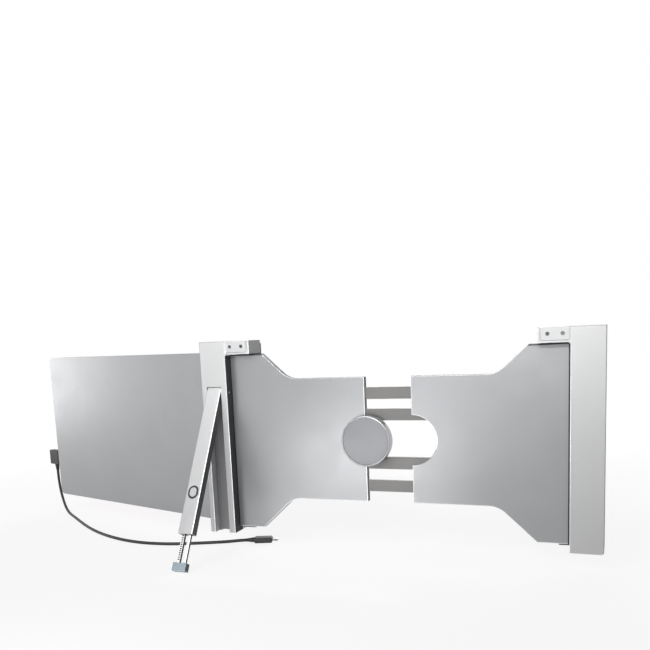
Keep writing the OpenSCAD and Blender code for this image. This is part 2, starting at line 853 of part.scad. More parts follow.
module plate_b_tray() {
    color("dimgray") far_side(plate_b_x) difference() {
        union() {
            slab(pad_t, tray_back) wing_outline(sheet_t + seat_gap, sheet_t + seat_gap);
            tray_tongue();
            for (z = concat(plain_rails_z, [(rack_tip_z + rack_bottom_z) / 2]))
                block([rivet_first - 8, tray_back - 0.2, z - 4], [rail_in_len, rail_front, z + 4]);
        }
        rod_y(notch_r + sheet_t + seat_gap, 0, plate_back);
        rivet_places() rod_y(rivet_r, 0, plate_back);
        tongue_screw_holes();
    }
}

// rivets stand outside the notch, along each rail
module rivet_places() {
    for (z = concat(plain_rails_z, [(rack_bottom_z + rack_tip_z) / 2 - gear_m]), k = [0:rivet_n - 1])
        translate([rivet_first + k * rivet_step, 0, z]) children();
}

module guide_rails() {
    color("rosybrown") difference() {
        for (z = plain_rails_z)
            block([rail_x0, rail_front, z - rail_h / 2], [rail_x1, rail_back, z + rail_h / 2]);
        far_side(plate_b_x) rivet_places() rod_y(rivet_r, 0, plate_back);
    }
}

// straight-sided teeth on the rail's top edge, a space facing the knob axis
module rack_outline() {
    root_z = -(pitch_r + dedendum);
    half_tip = gear_pitch / 4 - backlash / 2 - addendum * tan(pressure);
    half_root = gear_pitch / 4 - backlash / 2 + dedendum * tan(pressure);
    first = -(rack_teeth / 2 + 2) * gear_pitch + gear_pitch / 2;
    polygon(concat(
        [[rail_x0, rack_bottom_z], [rail_x0, root_z]],
        [for (k = [0:rack_teeth - 1], p = [[-half_root, root_z], [-half_tip, rack_tip_z],
                                           [half_tip, rack_tip_z], [half_root, root_z]])
            [first + k * gear_pitch + p[0], p[1]]],
        [[rail_x1, root_z], [rail_x1, rack_bottom_z]]));
}

module rack_rail() {
    color("rosybrown") difference() {
        slab(rail_front, rail_back) rack_outline();
        far_side(plate_b_x) rivet_places() rod_y(rivet_r, 0, plate_back);
    }
}

module rail_rivets() {
    color("gray") far_side(plate_b_x) rivet_places() {
        rod_y(rivet_r, pad_t, rail_back);
        rod_y(rivet_r + 1.2, rail_back, cover_in - 0.1);
    }
}

module plate_b_pads() {
    color("black") far_side(plate_b_x) tray_pads();
}

// ---- far post ----

// outline of the far post, round at its outer bottom corner, drawn in by d
module post_b_outline(d) {
    difference() {
        translate([d, post_bottom + d]) square([post_w - 2 * d, post_h - 2 * d]);
        translate([post_w - corner_r, post_bottom]) square(corner_r);
    }
    intersection() {
        translate([post_w - corner_r, post_bottom + corner_r])
            circle(r = corner_r - d, $fn = round_fn);
        translate([post_w - corner_r, post_bottom]) square(corner_r);
    }
}

module post_b_housing() {
    color("gainsboro") far_side(post_b_x) difference() {
        union() {
            slab(post_front, post_back) post_b_outline(0);
            block([-arm_len, -hook_in, arm_bottom], [seat_gap, post_back, post_top]);
            arm_corner(0, 1);
        }
        hook_arm_cuts(-arm_len);
        block([tongue_len + 3, 0, post_bottom + 4], [post_w - post_wall, post_back - post_wall,
                                                     arm_bottom - 3]);
        difference() {
            block([post_wall, post_front + post_wall, post_bottom + 4],
                  [tongue_len + 4, post_back - post_wall, arm_bottom - 3]);
            for (z = tongue_screw_z)
                translate([tongue_len / 2, 0, z]) rod_y(tongue_screw_r + 1.8, 0, tray_back + 7);
        }
        for (z = tongue_screw_z)
            translate([tongue_len / 2, 0, z]) rod_y(tongue_screw_r, 0, tray_back + 5);
    }
}

module post_b_front_cover() {
    color("gainsboro") far_side(post_b_x) difference() {
        union() {
            slab(-hook_front, post_front) post_b_outline(0);
            block([-lip_reach, -hook_front, post_bottom], [through, -hook_in,
                                                           post_bottom + lip_h]);
        }
        slab(-hook_front + front_cover_t, post_front + through) post_b_outline(front_cover_t);
        block([-lip_reach - through, -hook_in, arm_bottom - seat_gap],
              [seat_gap * 2, post_front + through, post_top + through]);
        block([-through, pad_t - seat_gap, tongue_bottom - seat_gap],
              [front_cover_t + through, post_front + through, tongue_top + seat_gap]);
    }
}

module hook_b() {
    color([0.05, 0.05, 0.05]) far_side(post_b_x + arm_len) difference() {
        hook_body();
        hook_pilots();
    }
}

module hook_b_pad() {
    color("black") {
        far_side(post_b_x + arm_len) hook_pad_shape();
        far_side(post_b_x)
            block([-lip_reach + 0.5, -hook_in, post_bottom + 0.5],
                  [0, -hook_in + hook_pad_t, post_bottom + lip_h - 0.5]);
    }
}

module hook_b_cover_plate() {
    color("gainsboro") far_side(post_b_x + arm_len) cover_plate_shape();
}

module post_b_screws() {
    color("gray") {
        far_side(post_b_x + arm_len) hook_screws_shape();
        far_side(plate_b_x) tongue_screws();
    }
}

// ---- monitor ----

module hinge_column() {
    color("gray") in_monitor() difference() {
        rod_z(column_r, column_z0, column_z1);
        block([-column_r, flat_y, column_z0 - through], [column_r, column_r + through,
                                                         column_z1 + through]);
        for (z = [column_z0 - through, column_z1 - pin_in_column - slip])
            rod_z(hinge_pin_r + slip, z, z + pin_in_column + slip + through);
        leaf_screw_places(0) rod_y(leaf_screw_r, 0, flat_y + through);
    }
}

leaf_screw_r = 1.25;
leaf_head_r = 2.2;

module leaf_screw_places(x) {
    for (k = [-1:1]) translate([x, 0, k * leaf_screw_step]) children();
}

module hinge_leaf() {
    color([0.1, 0.1, 0.1]) in_monitor() difference() {
        block([leaf_x0, flat_y, screen_bottom + leaf_end], [leaf_x1, flat_y + leaf_t,
                                                            screen_top - leaf_end]);
        leaf_screw_places(0) rod_y(leaf_screw_r, 0, screen_back);
        leaf_screw_places(leaf_x1 - leaf_screw_edge) rod_y(leaf_screw_r, 0, screen_back);
    }
}

module hinge_leaf_screws() {
    color("gray") in_monitor() {
        leaf_screw_places(0) {
            rod_y(leaf_screw_r, 0.5, flat_y + leaf_t);
            rod_y(leaf_head_r, flat_y + leaf_t, flat_y + leaf_t + 1.2);
        }
        leaf_screw_places(leaf_x1 - leaf_screw_edge) {
            rod_y(leaf_screw_r, flat_y, flat_y + leaf_t);
            rod_y(leaf_head_r, flat_y + leaf_t, flat_y + leaf_t + 1.2);
        }
    }
}

// the housing's outline, centred on the picture's X and the housing's Z
module housing_outline(inset) {
    translate([(screen_x0 + screen_x1) / 2, (screen_bottom + screen_top) / 2])
        round_rect(screen_w - 2 * inset, screen_h - 2 * inset, screen_corner - inset);
}

module side_frame() {
    color([0.3, 0.31, 0.33]) in_monitor() difference() {
        slab(frame_y0, frame_y1) housing_outline(0);
        slab(frame_y0 - through, frame_y1 + through) housing_outline(frame_wall);
        block([screen_x0 - through, flat_y - slip, screen_bottom + leaf_end - seat_gap],
              [screen_x0 + frame_wall + through, flat_y + leaf_t + slip,
               screen_top - leaf_end + seat_gap]);
        bar(screen_x1 - frame_wall - through, screen_x1 + through) {
            for (z = [socket_z[0], socket_z[1]])
                translate([socket_y, z]) stadium(usb_h + 0.2, usb_w + 0.2);
            translate([socket_y, socket_z[2]]) square([usb_h + 0.2, hdmi_w + 0.2], center = true);
            translate([socket_y, button_z]) stadium(button_h + 0.3, button_w + 0.3);
            translate([socket_y, light_z]) circle(r = light_r + slip, $fn = round_fn);
        }
    }
}

module back_cover() {
    color("silver") in_monitor() union() {
        slab(frame_y1, screen_back - 0.6) housing_outline(0);
        slab(screen_back - 0.6, screen_back) housing_outline(0.6);
        difference() {
            slab(frame_y1 - back_rib_t, frame_y1) housing_outline(frame_wall + seat_gap);
            slab(frame_y1 - 2, frame_y1 + through) housing_outline(frame_wall + 1.2);
        }
    }
}

module front_bezel() {
    color("lightgray") in_monitor() difference() {
        union() {
            slab(screen_y0 + 0.6, frame_y0) housing_outline(0);
            slab(screen_y0, screen_y0 + 0.6) housing_outline(0.6);
        }
        slab(screen_y0 - through, frame_y0 + through)
            translate([picture_x, picture_z]) square([picture_w, picture_h], center = true);
    }
}

module display_panel() {
    color([0.35, 0.1, 0.5]) in_monitor() slab(frame_y0, panel_back)
        translate([picture_x, picture_z])
            square([picture_w + 2 * panel_margin, picture_h + 2 * panel_margin], center = true);
}

module panel_tray() {
    color("lightsteelblue") in_monitor() slab(panel_back, tray_y1)
        translate([picture_x, picture_z])
            square([picture_w + 2 * panel_margin, picture_h + 2 * panel_margin], center = true);
}

module controller_board() {
    color("darkgreen") in_monitor() difference() {
        union() {
            block([board_x1 - board_w, board_y0, port_z - 42], [board_x1, board_y0 + board_t,
                                                                port_z + 18]);
            block([board_x1 - board_strip, board_y0, port_z + 17], [board_x1, board_y0 + board_t,
                                                                    button_z + 12]);
            block([board_x1 - 6, tray_y1 + 0.4, button_z - 3], [board_x1 - key_room, board_y0,
                                                                button_z + 3]);
            block([chip_x, tray_y1 + 0.4, port_z - 12], [chip_x + chip_w, board_y0,
                                                         port_z + 6]);
            block([chip_x + chip_w + 8, tray_y1 + 0.8, port_z - 34],
                  [chip_x + chip_w + 20, board_y0, port_z - 22]);
        }
        for (z = socket_z) block([socket_x0 - seat_gap, 0, z - hdmi_w / 2 - seat_gap],
                                 [screen_x1, screen_back, z + hdmi_w / 2 + seat_gap]);
        block([board_x1 - 2, 0, light_z - 1.2], [screen_x1, screen_back, light_z + 1.2]);
        block([board_x1 - key_room, 0, button_z - button_w / 2 - 1.6],
              [screen_x1, screen_back, button_z + button_w / 2 + 1.6]);
    }
}

module side_sockets() {
    color("darkgray") in_monitor() {
        for (z = [socket_z[0], socket_z[1]]) {
            difference() {
                bar(socket_x0, socket_x1) translate([socket_y, z]) stadium(usb_h, usb_w);
                bar(socket_x0 + 1, socket_x1 + through) translate([socket_y, z])
                    stadium(usb_h - 2 * usb_wall, usb_w - 2 * usb_wall);
            }
            block([socket_x0 + 1, socket_y - 0.35, z - 3.3], [socket_x1 - 1.2, socket_y + 0.35,
                                                              z + 3.3]);
        }
        difference() {
            bar(socket_x0, socket_x1) translate([socket_y, socket_z[2]])
                square([usb_h, hdmi_w], center = true);
            bar(socket_x0 + 1, socket_x1 + through) translate([socket_y, socket_z[2]])
                square([usb_h - 2 * usb_wall, hdmi_w - 2 * usb_wall], center = true);
        }
        block([socket_x0 + 1, socket_y - 0.4, socket_z[2] - 4], [socket_x1 - 1.2,
                                                                 socket_y + 0.4, socket_z[2] + 4]);
    }
}

module panel_ribbon() {
    ribbon_x = board_x1 - board_w + 6;
    color("peru") in_monitor() {
        block([ribbon_x - 24, tray_y1, port_z - 9], [ribbon_x, tray_y1 + 0.3, port_z + 9]);
        block([ribbon_x - 0.3, tray_y1, port_z - 9], [ribbon_x, board_y0, port_z + 9]);
    }
}

module power_button() {
    color("lightgray") in_monitor() {
        bar(screen_x1 - frame_wall - 0.9, screen_x1 + 0.5) translate([socket_y, button_z])
            stadium(button_h, button_w);
        bar(screen_x1 - frame_wall - 0.9, screen_x1 - frame_wall - slip)
            translate([socket_y, button_z]) stadium(button_h + 0.7, button_w + 2);
    }
}

module light_pipe() {
    color("white") in_monitor() translate([0, socket_y, light_z])
        rod_x(light_r, board_x1 - 1.9, screen_x1 - 0.1);
}

// ---- kickstand ----

// side view of the arm: rounded about the pivot at its top
function arc_points(cy, cz, r, a0, a1, n) =
    [for (i = [0:n]) let (a = a0 + (a1 - a0) * i / n) [cy + r * cos(a), cz + r * sin(a)]];

module stand_profile() {
    front_r = stand_half - 0.1;
    back_r = 2.6;
    polygon(concat(
        [[-stand_half, stand_end], [stand_half, stand_end]],
        arc_points(stand_half - back_r, stand_top - back_r, back_r, 0, 90, 5),
        arc_points(-stand_half + front_r, stand_top - front_r, front_r, 90, 180, 7)));
}

module kickstand_arm() {
    color("lightgray") in_stand() difference() {
        bar(-stand_w / 2, stand_w / 2) stand_profile();
        block([-stand_in, -stand_half - through, stand_end - through],
              [stand_in, rear_in, -stand_solid]);
        rod_x(stand_pin_r + slip, -stand_w, stand_w);
        translate([0, 0, -button_drop]) slab(0, stand_half + through)
            stadium(cap_w + 2 * rim_t, cap_h + 2 * rim_t);
    }
}

module kickstand_inner_cover() {
    window_w = 9;
    window_h = 20;
    color([0.12, 0.12, 0.13]) in_stand() difference() {
        block([-stand_in + seat_gap, -stand_half, stand_end],
              [stand_in - seat_gap, -stand_half + inner_cover_t, -12]);
        block([-window_w / 2, -stand_half - through, -button_drop - window_h / 2],
              [window_w / 2, 0, -button_drop + window_h / 2]);
    }
}

module leg_guide() {
    color([0.12, 0.12, 0.13]) in_stand() difference() {
        block([-stand_in + seat_gap / 2, -stand_half + inner_cover_t, stand_end + 0.4],
              [stand_in - seat_gap / 2, rear_in, stand_end + guide_h]);
        for (side = [-1, 1])
            block([side > 0 ? rod_gap / 2 - slide_gap : -leg_half - slide_gap,
                   leg_y0 - slide_gap, stand_end - through],
                  [side > 0 ? leg_half + slide_gap : -rod_gap / 2 + slide_gap,
                   leg_y1 + slide_gap, stand_end + guide_h + through]);
    }
}

module button_rim() {
    color("black") in_stand() translate([0, 0, -button_drop]) slab(rear_in, stand_half - 0.2)
        difference() {
            stadium(cap_w + 2 * rim_t - 0.04, cap_h + 2 * rim_t - 0.04);
            stadium(cap_w + 0.2, cap_h + 0.2);
        }
}

module leg_rods() {
    color("whitesmoke") in_stand() difference() {
        for (side = [-1, 1])
            block([side > 0 ? rod_gap / 2 : -leg_half, leg_y0, leg_z0],
                  [side > 0 ? leg_half : -rod_gap / 2, leg_y1, rod_top]);
        for (k = [0:hole_n - 1])
            block([rod_gap / 2 + (rod_w - hole_w) / 2, leg_y0 - through,
                   leg_z0 + hole_first + k * hole_pitch],
                  [rod_gap / 2 + (rod_w + hole_w) / 2, leg_y1 + through,
                   leg_z0 + hole_first + k * hole_pitch + hole_h]);
    }
}

// cross bar that joins the rods' upper ends and slides between the arm's walls
module leg_bridge() {
    color("whitesmoke") in_stand()
        block([-stand_in + slide_gap, leg_y0, rod_top], [stand_in - slide_gap, leg_y1, leg_z1]);
}

module foot() {
    color("slategray") in_stand()
        block([-foot_w / 2, -foot_depth / 2, leg_z0 - foot_h + sole_t],
              [foot_w / 2, foot_depth / 2, leg_z0]);
}

module foot_sole() {
    color([0.15, 0.17, 0.19]) in_stand()
        block([-foot_w / 2, -foot_depth / 2, leg_z0 - foot_h],
              [foot_w / 2, foot_depth / 2, leg_z0 - foot_h + sole_t]);
}

module leg_button() {
    color("whitesmoke") in_stand() translate([0, 0, -button_drop])
        slab(latch_back, stand_half + button_proud) stadium(cap_w, cap_h);
}

// stem between the rods, from the button's cap to the pawl plate behind the ladder holes
module button_latch() {
    color([0.12, 0.12, 0.13]) in_stand() translate([0, 0, -button_drop]) {
        block([-stem_w / 2, pawl_front, -latch_h / 2], [stem_w / 2, latch_back, latch_h / 2]);
        block([-stem_w / 2, pawl_front, -latch_h / 2], [rod_gap / 2 + rod_w / 2,
                                                        pawl_front + pawl_t, latch_h / 2]);
    }
}

// ---- lead ----

module angle_plug() {
    color([0.07, 0.07, 0.07]) in_monitor() {
        difference() {
            block([angle_x0, socket_y - angle_body_y / 2, angle_bottom],
                  [angle_x0 + angle_body_w, socket_y + angle_body_y / 2, angle_top]);
            for (side = [-1, 1])
                translate([0, socket_y + side * (angle_body_y / 2 + 0.4), 0])
                    block([angle_x0 + 2, -0.8, angle_bottom + 3],
                          [angle_x0 + angle_body_w - 2, 0.8, angle_bottom + 10]);
        }
        translate([angle_mid, socket_y, angle_bottom - boot_len])
            cylinder(r1 = cable_r + 0.3, r2 = boot_r, h = boot_len, $fn = round_fn);
    }
    color("silver") in_monitor() difference() {
        bar(angle_x0 - plug_reach + 0.3, angle_x0) translate([socket_y, port_z])
            stadium(plug_h, plug_w);
        bar(angle_x0 - plug_reach, angle_x0 - 0.5) translate([socket_y, port_z])
            stadium(plug_h - 0.5, plug_w - 0.5);
    }
}

module at_cable_end() {
    in_monitor() translate(concat(cable_end, plug_axis_z)) rotate([0, 0, straight_turn]) children();
}

module straight_plug() {
    body_end = straight_boot + straight_body;
    color([0.07, 0.07, 0.07]) at_cable_end() {
        rotate([0, 90, 0]) cylinder(r1 = cable_r + 0.2, r2 = boot_r, h = straight_boot,
                                    $fn = round_fn);
        bar(straight_boot, body_end) round_rect(straight_w, straight_t, 2);
    }
    color("silver") at_cable_end() difference() {
        bar(body_end - 0.2, body_end + plug_reach) stadium(plug_w, plug_h);
        bar(body_end + 0.5, body_end + plug_reach + through)
            stadium(plug_w - 0.5, plug_h - 0.5);
    }
}

// sweep of the cable: rings across the route, each square to the route's direction
cable_sides = 8;
cable_steps = 3;
function route_at(i, t) = let (n = len(cable_route), p0 = cable_route[max(i - 1, 0)],
    p1 = cable_route[i], p2 = cable_route[i + 1], p3 = cable_route[min(i + 2, n - 1)])
    0.5 * (2 * p1 + t * (p2 - p0) + t * t * (2 * p0 - 5 * p1 + 4 * p2 - p3)
           + t * t * t * (3 * p1 - p0 - 3 * p2 + p3));
function unit(v) = v / norm(v);
cable_path = concat([for (i = [0:len(cable_route) - 2], k = [0:cable_steps - 1])
                        route_at(i, k / cable_steps)],
                    [cable_route[len(cable_route) - 1]]);
cable_rings = len(cable_path);
plug_dir = [cos(straight_turn), sin(straight_turn), 0];
function path_dir(i) = i == 0 ? [0, 0, -1] : i == cable_rings - 1 ? plug_dir
    : unit(cable_path[i + 1] - cable_path[i - 1]);
function ring_side(i) = unit(cross(path_dir(i), [0.3, 1, 0.05]));

module usb_cable() {
    points = [for (i = [0:cable_rings - 1]) let (s = ring_side(i), u = cross(s, path_dir(i)))
        for (k = [0:cable_sides - 1]) let (a = 360 * k / cable_sides)
            cable_path[i] + cable_r * (cos(a) * s + sin(a) * u)];
    sides = [for (i = [0:cable_rings - 2], k = [0:cable_sides - 1])
        let (a = i * cable_sides + k, b = i * cable_sides + (k + 1) % cable_sides)
            [a, b, b + cable_sides, a + cable_sides]];
    color([0.06, 0.06, 0.06]) in_monitor()
        polyhedron(points, concat(sides, [[for (k = [cable_sides - 1:-1:0]) k],
            [for (k = [0:cable_sides - 1]) (cable_rings - 1) * cable_sides + k]]), convexity = 6);
}

plate_a_cover();
plate_a_tray();
rail_guides();
hub_bushes();
plate_a_pads();
post_a_housing();
post_a_front_cover();
hinge_block_top();
hinge_block_bottom();
hinge_pins();
hinge_washers();
hook_a();
hook_a_pad();
hook_a_cover_plate();
post_a_screws();
kickstand_pin();
kickstand_washers();
knob_body();
knob_face();
knob_washer();
knob_shaft();
pinion();
plate_b_cover();
plate_b_tray();
guide_rails();
rack_rail();
rail_rivets();
plate_b_pads();
post_b_housing();
post_b_front_cover();
hook_b();
hook_b_pad();
hook_b_cover_plate();
post_b_screws();
hinge_column();
hinge_leaf();
hinge_leaf_screws();
back_cover();
side_frame();
front_bezel();
display_panel();
panel_tray();
controller_board();
side_sockets();
panel_ribbon();
power_button();
light_pipe();
kickstand_arm();
kickstand_inner_cover();
leg_guide();
button_rim();
leg_rods();
leg_bridge();
foot();
foot_sole();
leg_button();
button_latch();
angle_plug();
straight_plug();
usb_cable();
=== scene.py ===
from math import pi, radians

import bmesh
import bpy
from mathutils import Matrix, Vector


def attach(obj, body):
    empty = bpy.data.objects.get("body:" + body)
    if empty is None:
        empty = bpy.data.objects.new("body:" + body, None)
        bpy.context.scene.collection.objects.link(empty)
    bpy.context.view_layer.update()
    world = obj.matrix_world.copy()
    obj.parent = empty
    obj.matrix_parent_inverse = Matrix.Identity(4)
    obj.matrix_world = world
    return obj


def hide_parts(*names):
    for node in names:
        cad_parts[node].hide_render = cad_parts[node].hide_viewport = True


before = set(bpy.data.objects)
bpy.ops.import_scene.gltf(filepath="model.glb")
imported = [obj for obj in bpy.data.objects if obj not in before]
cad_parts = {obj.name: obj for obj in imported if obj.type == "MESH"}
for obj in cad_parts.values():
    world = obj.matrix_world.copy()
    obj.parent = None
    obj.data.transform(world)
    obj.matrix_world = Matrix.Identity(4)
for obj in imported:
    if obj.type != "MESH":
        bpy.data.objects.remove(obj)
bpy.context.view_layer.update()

MM = 0.001

# ---- Desk, light and view ----
# The bracket is looked at from behind and a little above, over a plain white desk. Soft lamps
# light it from above and behind, and a weaker one from the user's side.

DESK_Z = -121.45 * MM
DESK_R = 6.0

view_data = bpy.data.cameras.new("view")
view_data.lens = 41.436
view_data.shift_y = 0.1925
view = bpy.data.objects.new("view", view_data)
view_right = Vector((-0.9312665, -0.36177916, -0.04311094))
view_up = Vector((0.01392119, -0.15357334, 0.98803918))
view_back = view_right.cross(view_up)
view_place = Vector((-0.235928, 0.725655, 0.104418))
view.matrix_world = Matrix.Translation(view_place) @ Matrix(
    (view_right, view_up, view_back)).transposed().to_4x4()
bpy.context.scene.collection.objects.link(view)
bpy.context.scene.camera = view
bpy.context.scene.view_settings.view_transform = "Standard"


def soft_lamp(name, place, aim, width, height, watts, spread=180):
    data = bpy.data.lights.new(name, "AREA")
    data.shape = "RECTANGLE"
    data.size, data.size_y, data.energy = width, height, watts
    data.spread = radians(spread)
    lamp = bpy.data.objects.new(name, data)
    lamp.location = place
    lamp.rotation_euler = (Vector(aim) - Vector(place)).to_track_quat("-Z", "Y").to_euler()
    lamp.visible_camera = False
    bpy.context.scene.collection.objects.link(lamp)


soft_lamp("beam lamp", (-0.12, 1.1, 0.55), (-0.02, 0.0, 0.40), 0.5, 0.12, 1.95, 50)
soft_lamp("strip lamp", (0.23, 1.15, 0.0), (-0.06, 0.0, 0.0), 0.08, 0.30, 0.035, 60)
soft_lamp("low lamp", (0.13, 0.42, -0.08), (0.0, 0.0, -0.05), 0.22, 0.07, 0.14, 140)
soft_lamp("side lamp", (1.47, 0.06, 0.08), (0.47, -0.09, 0.06), 0.22, 0.34, 0.08, 50)
soft_lamp("wide lamp", (0.55, 1.5, 1.25), (0.05, 0.0, 0.0), 0.9, 0.7, 11.5)
soft_lamp("card lamp", (0.06, 0.14, -0.112), (0.06, 0.0, -0.098), 0.24, 0.02, 0.012, 100)
soft_lamp("front lamp", (0.25, -1.5, 0.9), (0.1, 0.0, 0.0), 1.1, 0.9, 10)


def add_node(tree, kind, values=None, **settings):
    """A node with its settings changed and values typed into some of its sockets."""
    node = tree.nodes.new(kind)
    for key, value in settings.items():
        setattr(node, key, value)
    for socket, value in (values or {}).items():
        node.inputs[socket].default_value = value
    return node


def seen_directly(tree):
    """1 for what is seen, mirrored or looked at through glass, 0 for light that only lights."""
    path = add_node(tree, "ShaderNodeLightPath")
    value = path.outputs["Is Camera Ray"]
    for name in ("Is Glossy Ray", "Is Transmission Ray"):
        either = add_node(tree, "ShaderNodeMath", operation="MAXIMUM")
        tree.links.new(value, either.inputs[0])
        tree.links.new(path.outputs[name], either.inputs[1])
        value = either.outputs[0]
    return value


room = bpy.data.worlds.new("white room")
room.use_nodes = True
bpy.context.scene.world = room
room_light = room.node_tree.nodes["Background"]
room_light.inputs["Color"].default_value = (1, 1, 1, 1)
room_strength = add_node(room.node_tree, "ShaderNodeMapRange", {"To Min": 0.21, "To Max": 1.0})
room.node_tree.links.new(seen_directly(room.node_tree), room_strength.inputs["Value"])
room.node_tree.links.new(room_strength.outputs["Result"], room_light.inputs["Strength"])

desk_mesh = bmesh.new()
bmesh.ops.create_circle(desk_mesh, cap_ends=True, segments=64, radius=DESK_R)
desk_data = bpy.data.meshes.new("desk")
desk_mesh.to_mesh(desk_data)
desk_mesh.free()
desk = bpy.data.objects.new("desk", desk_data)
desk.location = (0, 0, DESK_Z)
bpy.context.scene.collection.objects.link(desk)

desk_paint = bpy.data.materials.new("desk white")
desk_paint.use_nodes = True
tree = desk_paint.node_tree
desk_shader = tree.nodes["Principled BSDF"]
desk_shader.inputs["Base Color"].default_value = (0.86, 0.86, 0.86, 1)
desk_shader.inputs["Roughness"].default_value = 0.9
desk_shader.inputs["Specular IOR Level"].default_value = 0.1
desk_glow = add_node(tree, "ShaderNodeEmission", {"Color": (1, 1, 1, 1), "Strength": 1.06})
desk_place = add_node(tree, "ShaderNodeTexCoord")
desk_reach = add_node(tree, "ShaderNodeVectorMath", operation="LENGTH")
desk_fade = add_node(tree, "ShaderNodeMapRange",
                     {"From Min": 0.35, "From Max": 1.3, "To Min": 0.80, "To Max": 0.94},
                     interpolation_type="SMOOTHSTEP")
desk_share = add_node(tree, "ShaderNodeMath", operation="MULTIPLY")
desk_mix = add_node(tree, "ShaderNodeMixShader")
tree.links.new(desk_place.outputs["Object"], desk_reach.inputs[0])
tree.links.new(desk_reach.outputs["Value"], desk_fade.inputs["Value"])
tree.links.new(desk_fade.outputs["Result"], desk_share.inputs[0])
tree.links.new(seen_directly(tree), desk_share.inputs[1])
tree.links.new(desk_share.outputs[0], desk_mix.inputs[0])
tree.links.new(desk_shader.outputs[0], desk_mix.inputs[1])
tree.links.new(desk_glow.outputs[0], desk_mix.inputs[2])
tree.links.new(desk_mix.outputs[0], tree.nodes["Material Output"].inputs["Surface"])
desk_data.materials.append(desk_paint)

# ---- Lead ----
# A thin black USB-C lead: a right-angle plug at the monitor, a round cable that drops to the
# desk and lies behind the bracket, and a straight plug at the laptop's end. All of it is
# moulded in black, with bare metal shells.

HINGE = Vector((168.4, -10.5, 0)) * MM
SWING = radians(-17.4)
MONITOR = Matrix.Translation(HINGE) @ Matrix.Rotation(SWING, 4, "Z")

CABLE_D = 3.6 * MM
CABLE_ROUTE = [
    (347.8, 6.6, -64), (347.8, 6.6, -70), (346.6, 6.9, -81.4), (343, 7.8, -93.4),
    (336.4, 9.6, -104.4), (327, 12.7, -112.7), (315.4, 16.6, -117.7), (302.5, 21.2, -119.4),
    (277, 30.6, -119.4), (250, 40.6, -119.4), (222, 50.6, -119.4), (194, 59, -119.4),
    (166, 65.2, -119.4), (138, 68.6, -119.4), (111, 68.8, -119.4), (86, 64.8, -119.4),
    (64, 56.8, -119.4), (46, 46.6, -119.4), (30.5, 35, -119.4), (16.5, 23.6, -119.4),
    (3, 13, -119.1), (-8, 4.7, -118.3), (-15, -0.6, -118)]


def along_route(points, steps):
    """The smooth line through the points, as close points."""
    line = []
    last = len(points) - 1
    for i in range(last):
        p0, p1 = points[max(i - 1, 0)], points[i]
        p2, p3 = points[i + 1], points[min(i + 2, last)]
        for k in range(steps):
            t = k / steps
            line.append(0.5 * (2 * p1 + t * (p2 - p0) + t * t * (2 * p0 - 5 * p1 + 4 * p2 - p3)
                               + t ** 3 * (3 * p1 - p0 - 3 * p2 + p3)))
    return line + [points[last]]


cable_line = along_route([MONITOR @ (Vector(p) * MM) for p in CABLE_ROUTE], 6)
cable_data = bpy.data.curves.new("lead_cable", "CURVE")
cable_data.dimensions = "3D"
cable_data.bevel_depth = CABLE_D / 2
cable_data.bevel_resolution = 3
cable_data.use_fill_caps = True
cable_spline = cable_data.splines.new("POLY")
cable_spline.points.add(len(cable_line) - 1)
for point, place in zip(cable_spline.points, cable_line):
    point.co = (*place, 1)
cable = bpy.data.objects.new("lead_cable", cable_data)
bpy.context.scene.collection.objects.link(cable)


def shader_group(name, inputs, outputs):
    """A node group with named sockets, and its input and output nodes."""
    group = bpy.data.node_groups.new(name, "ShaderNodeTree")
    for label, kind, value in inputs:
        socket = group.interface.new_socket(label, in_out="INPUT", socket_type=kind)
        socket.default_value = value
    for label in outputs:
        group.interface.new_socket(label, in_out="OUTPUT", socket_type="NodeSocketFloat")
    return group, add_node(group, "NodeGroupInput"), add_node(group, "NodeGroupOutput")


# grain: fine noise drawn out along the piece's own directions, and a slow drift over the piece
GRAIN, grain_in, grain_out = shader_group(
    "surface grain",
    [("Centre", "NodeSocketVector", (0, 0, 0)), ("Turn", "NodeSocketVector", (0, 0, 0)),
     ("Length", "NodeSocketVector", (1, 1, 1)), ("Fineness", "NodeSocketFloat", 2500.0)],
    ["Grain", "Drift"])
grain_place = add_node(GRAIN, "ShaderNodeTexCoord")
grain_map = add_node(GRAIN, "ShaderNodeMapping", vector_type="TEXTURE")
grain_noise = add_node(GRAIN, "ShaderNodeTexNoise", {"Detail": 3})
drift_noise = add_node(GRAIN, "ShaderNodeTexNoise", {"Scale": 16, "Detail": 4})
GRAIN.links.new(grain_place.outputs["Object"], grain_map.inputs["Vector"])
for label, socket in (("Centre", "Location"), ("Turn", "Rotation"), ("Length", "Scale")):
    GRAIN.links.new(grain_in.outputs[label], grain_map.inputs[socket])
GRAIN.links.new(grain_map.outputs["Vector"], grain_noise.inputs["Vector"])
GRAIN.links.new(grain_in.outputs["Fineness"], grain_noise.inputs["Scale"])
GRAIN.links.new(grain_place.outputs["Object"], drift_noise.inputs["Vector"])
GRAIN.links.new(grain_noise.outputs["Fac"], grain_out.inputs["Grain"])
GRAIN.links.new(drift_noise.outputs["Fac"], grain_out.inputs["Drift"])

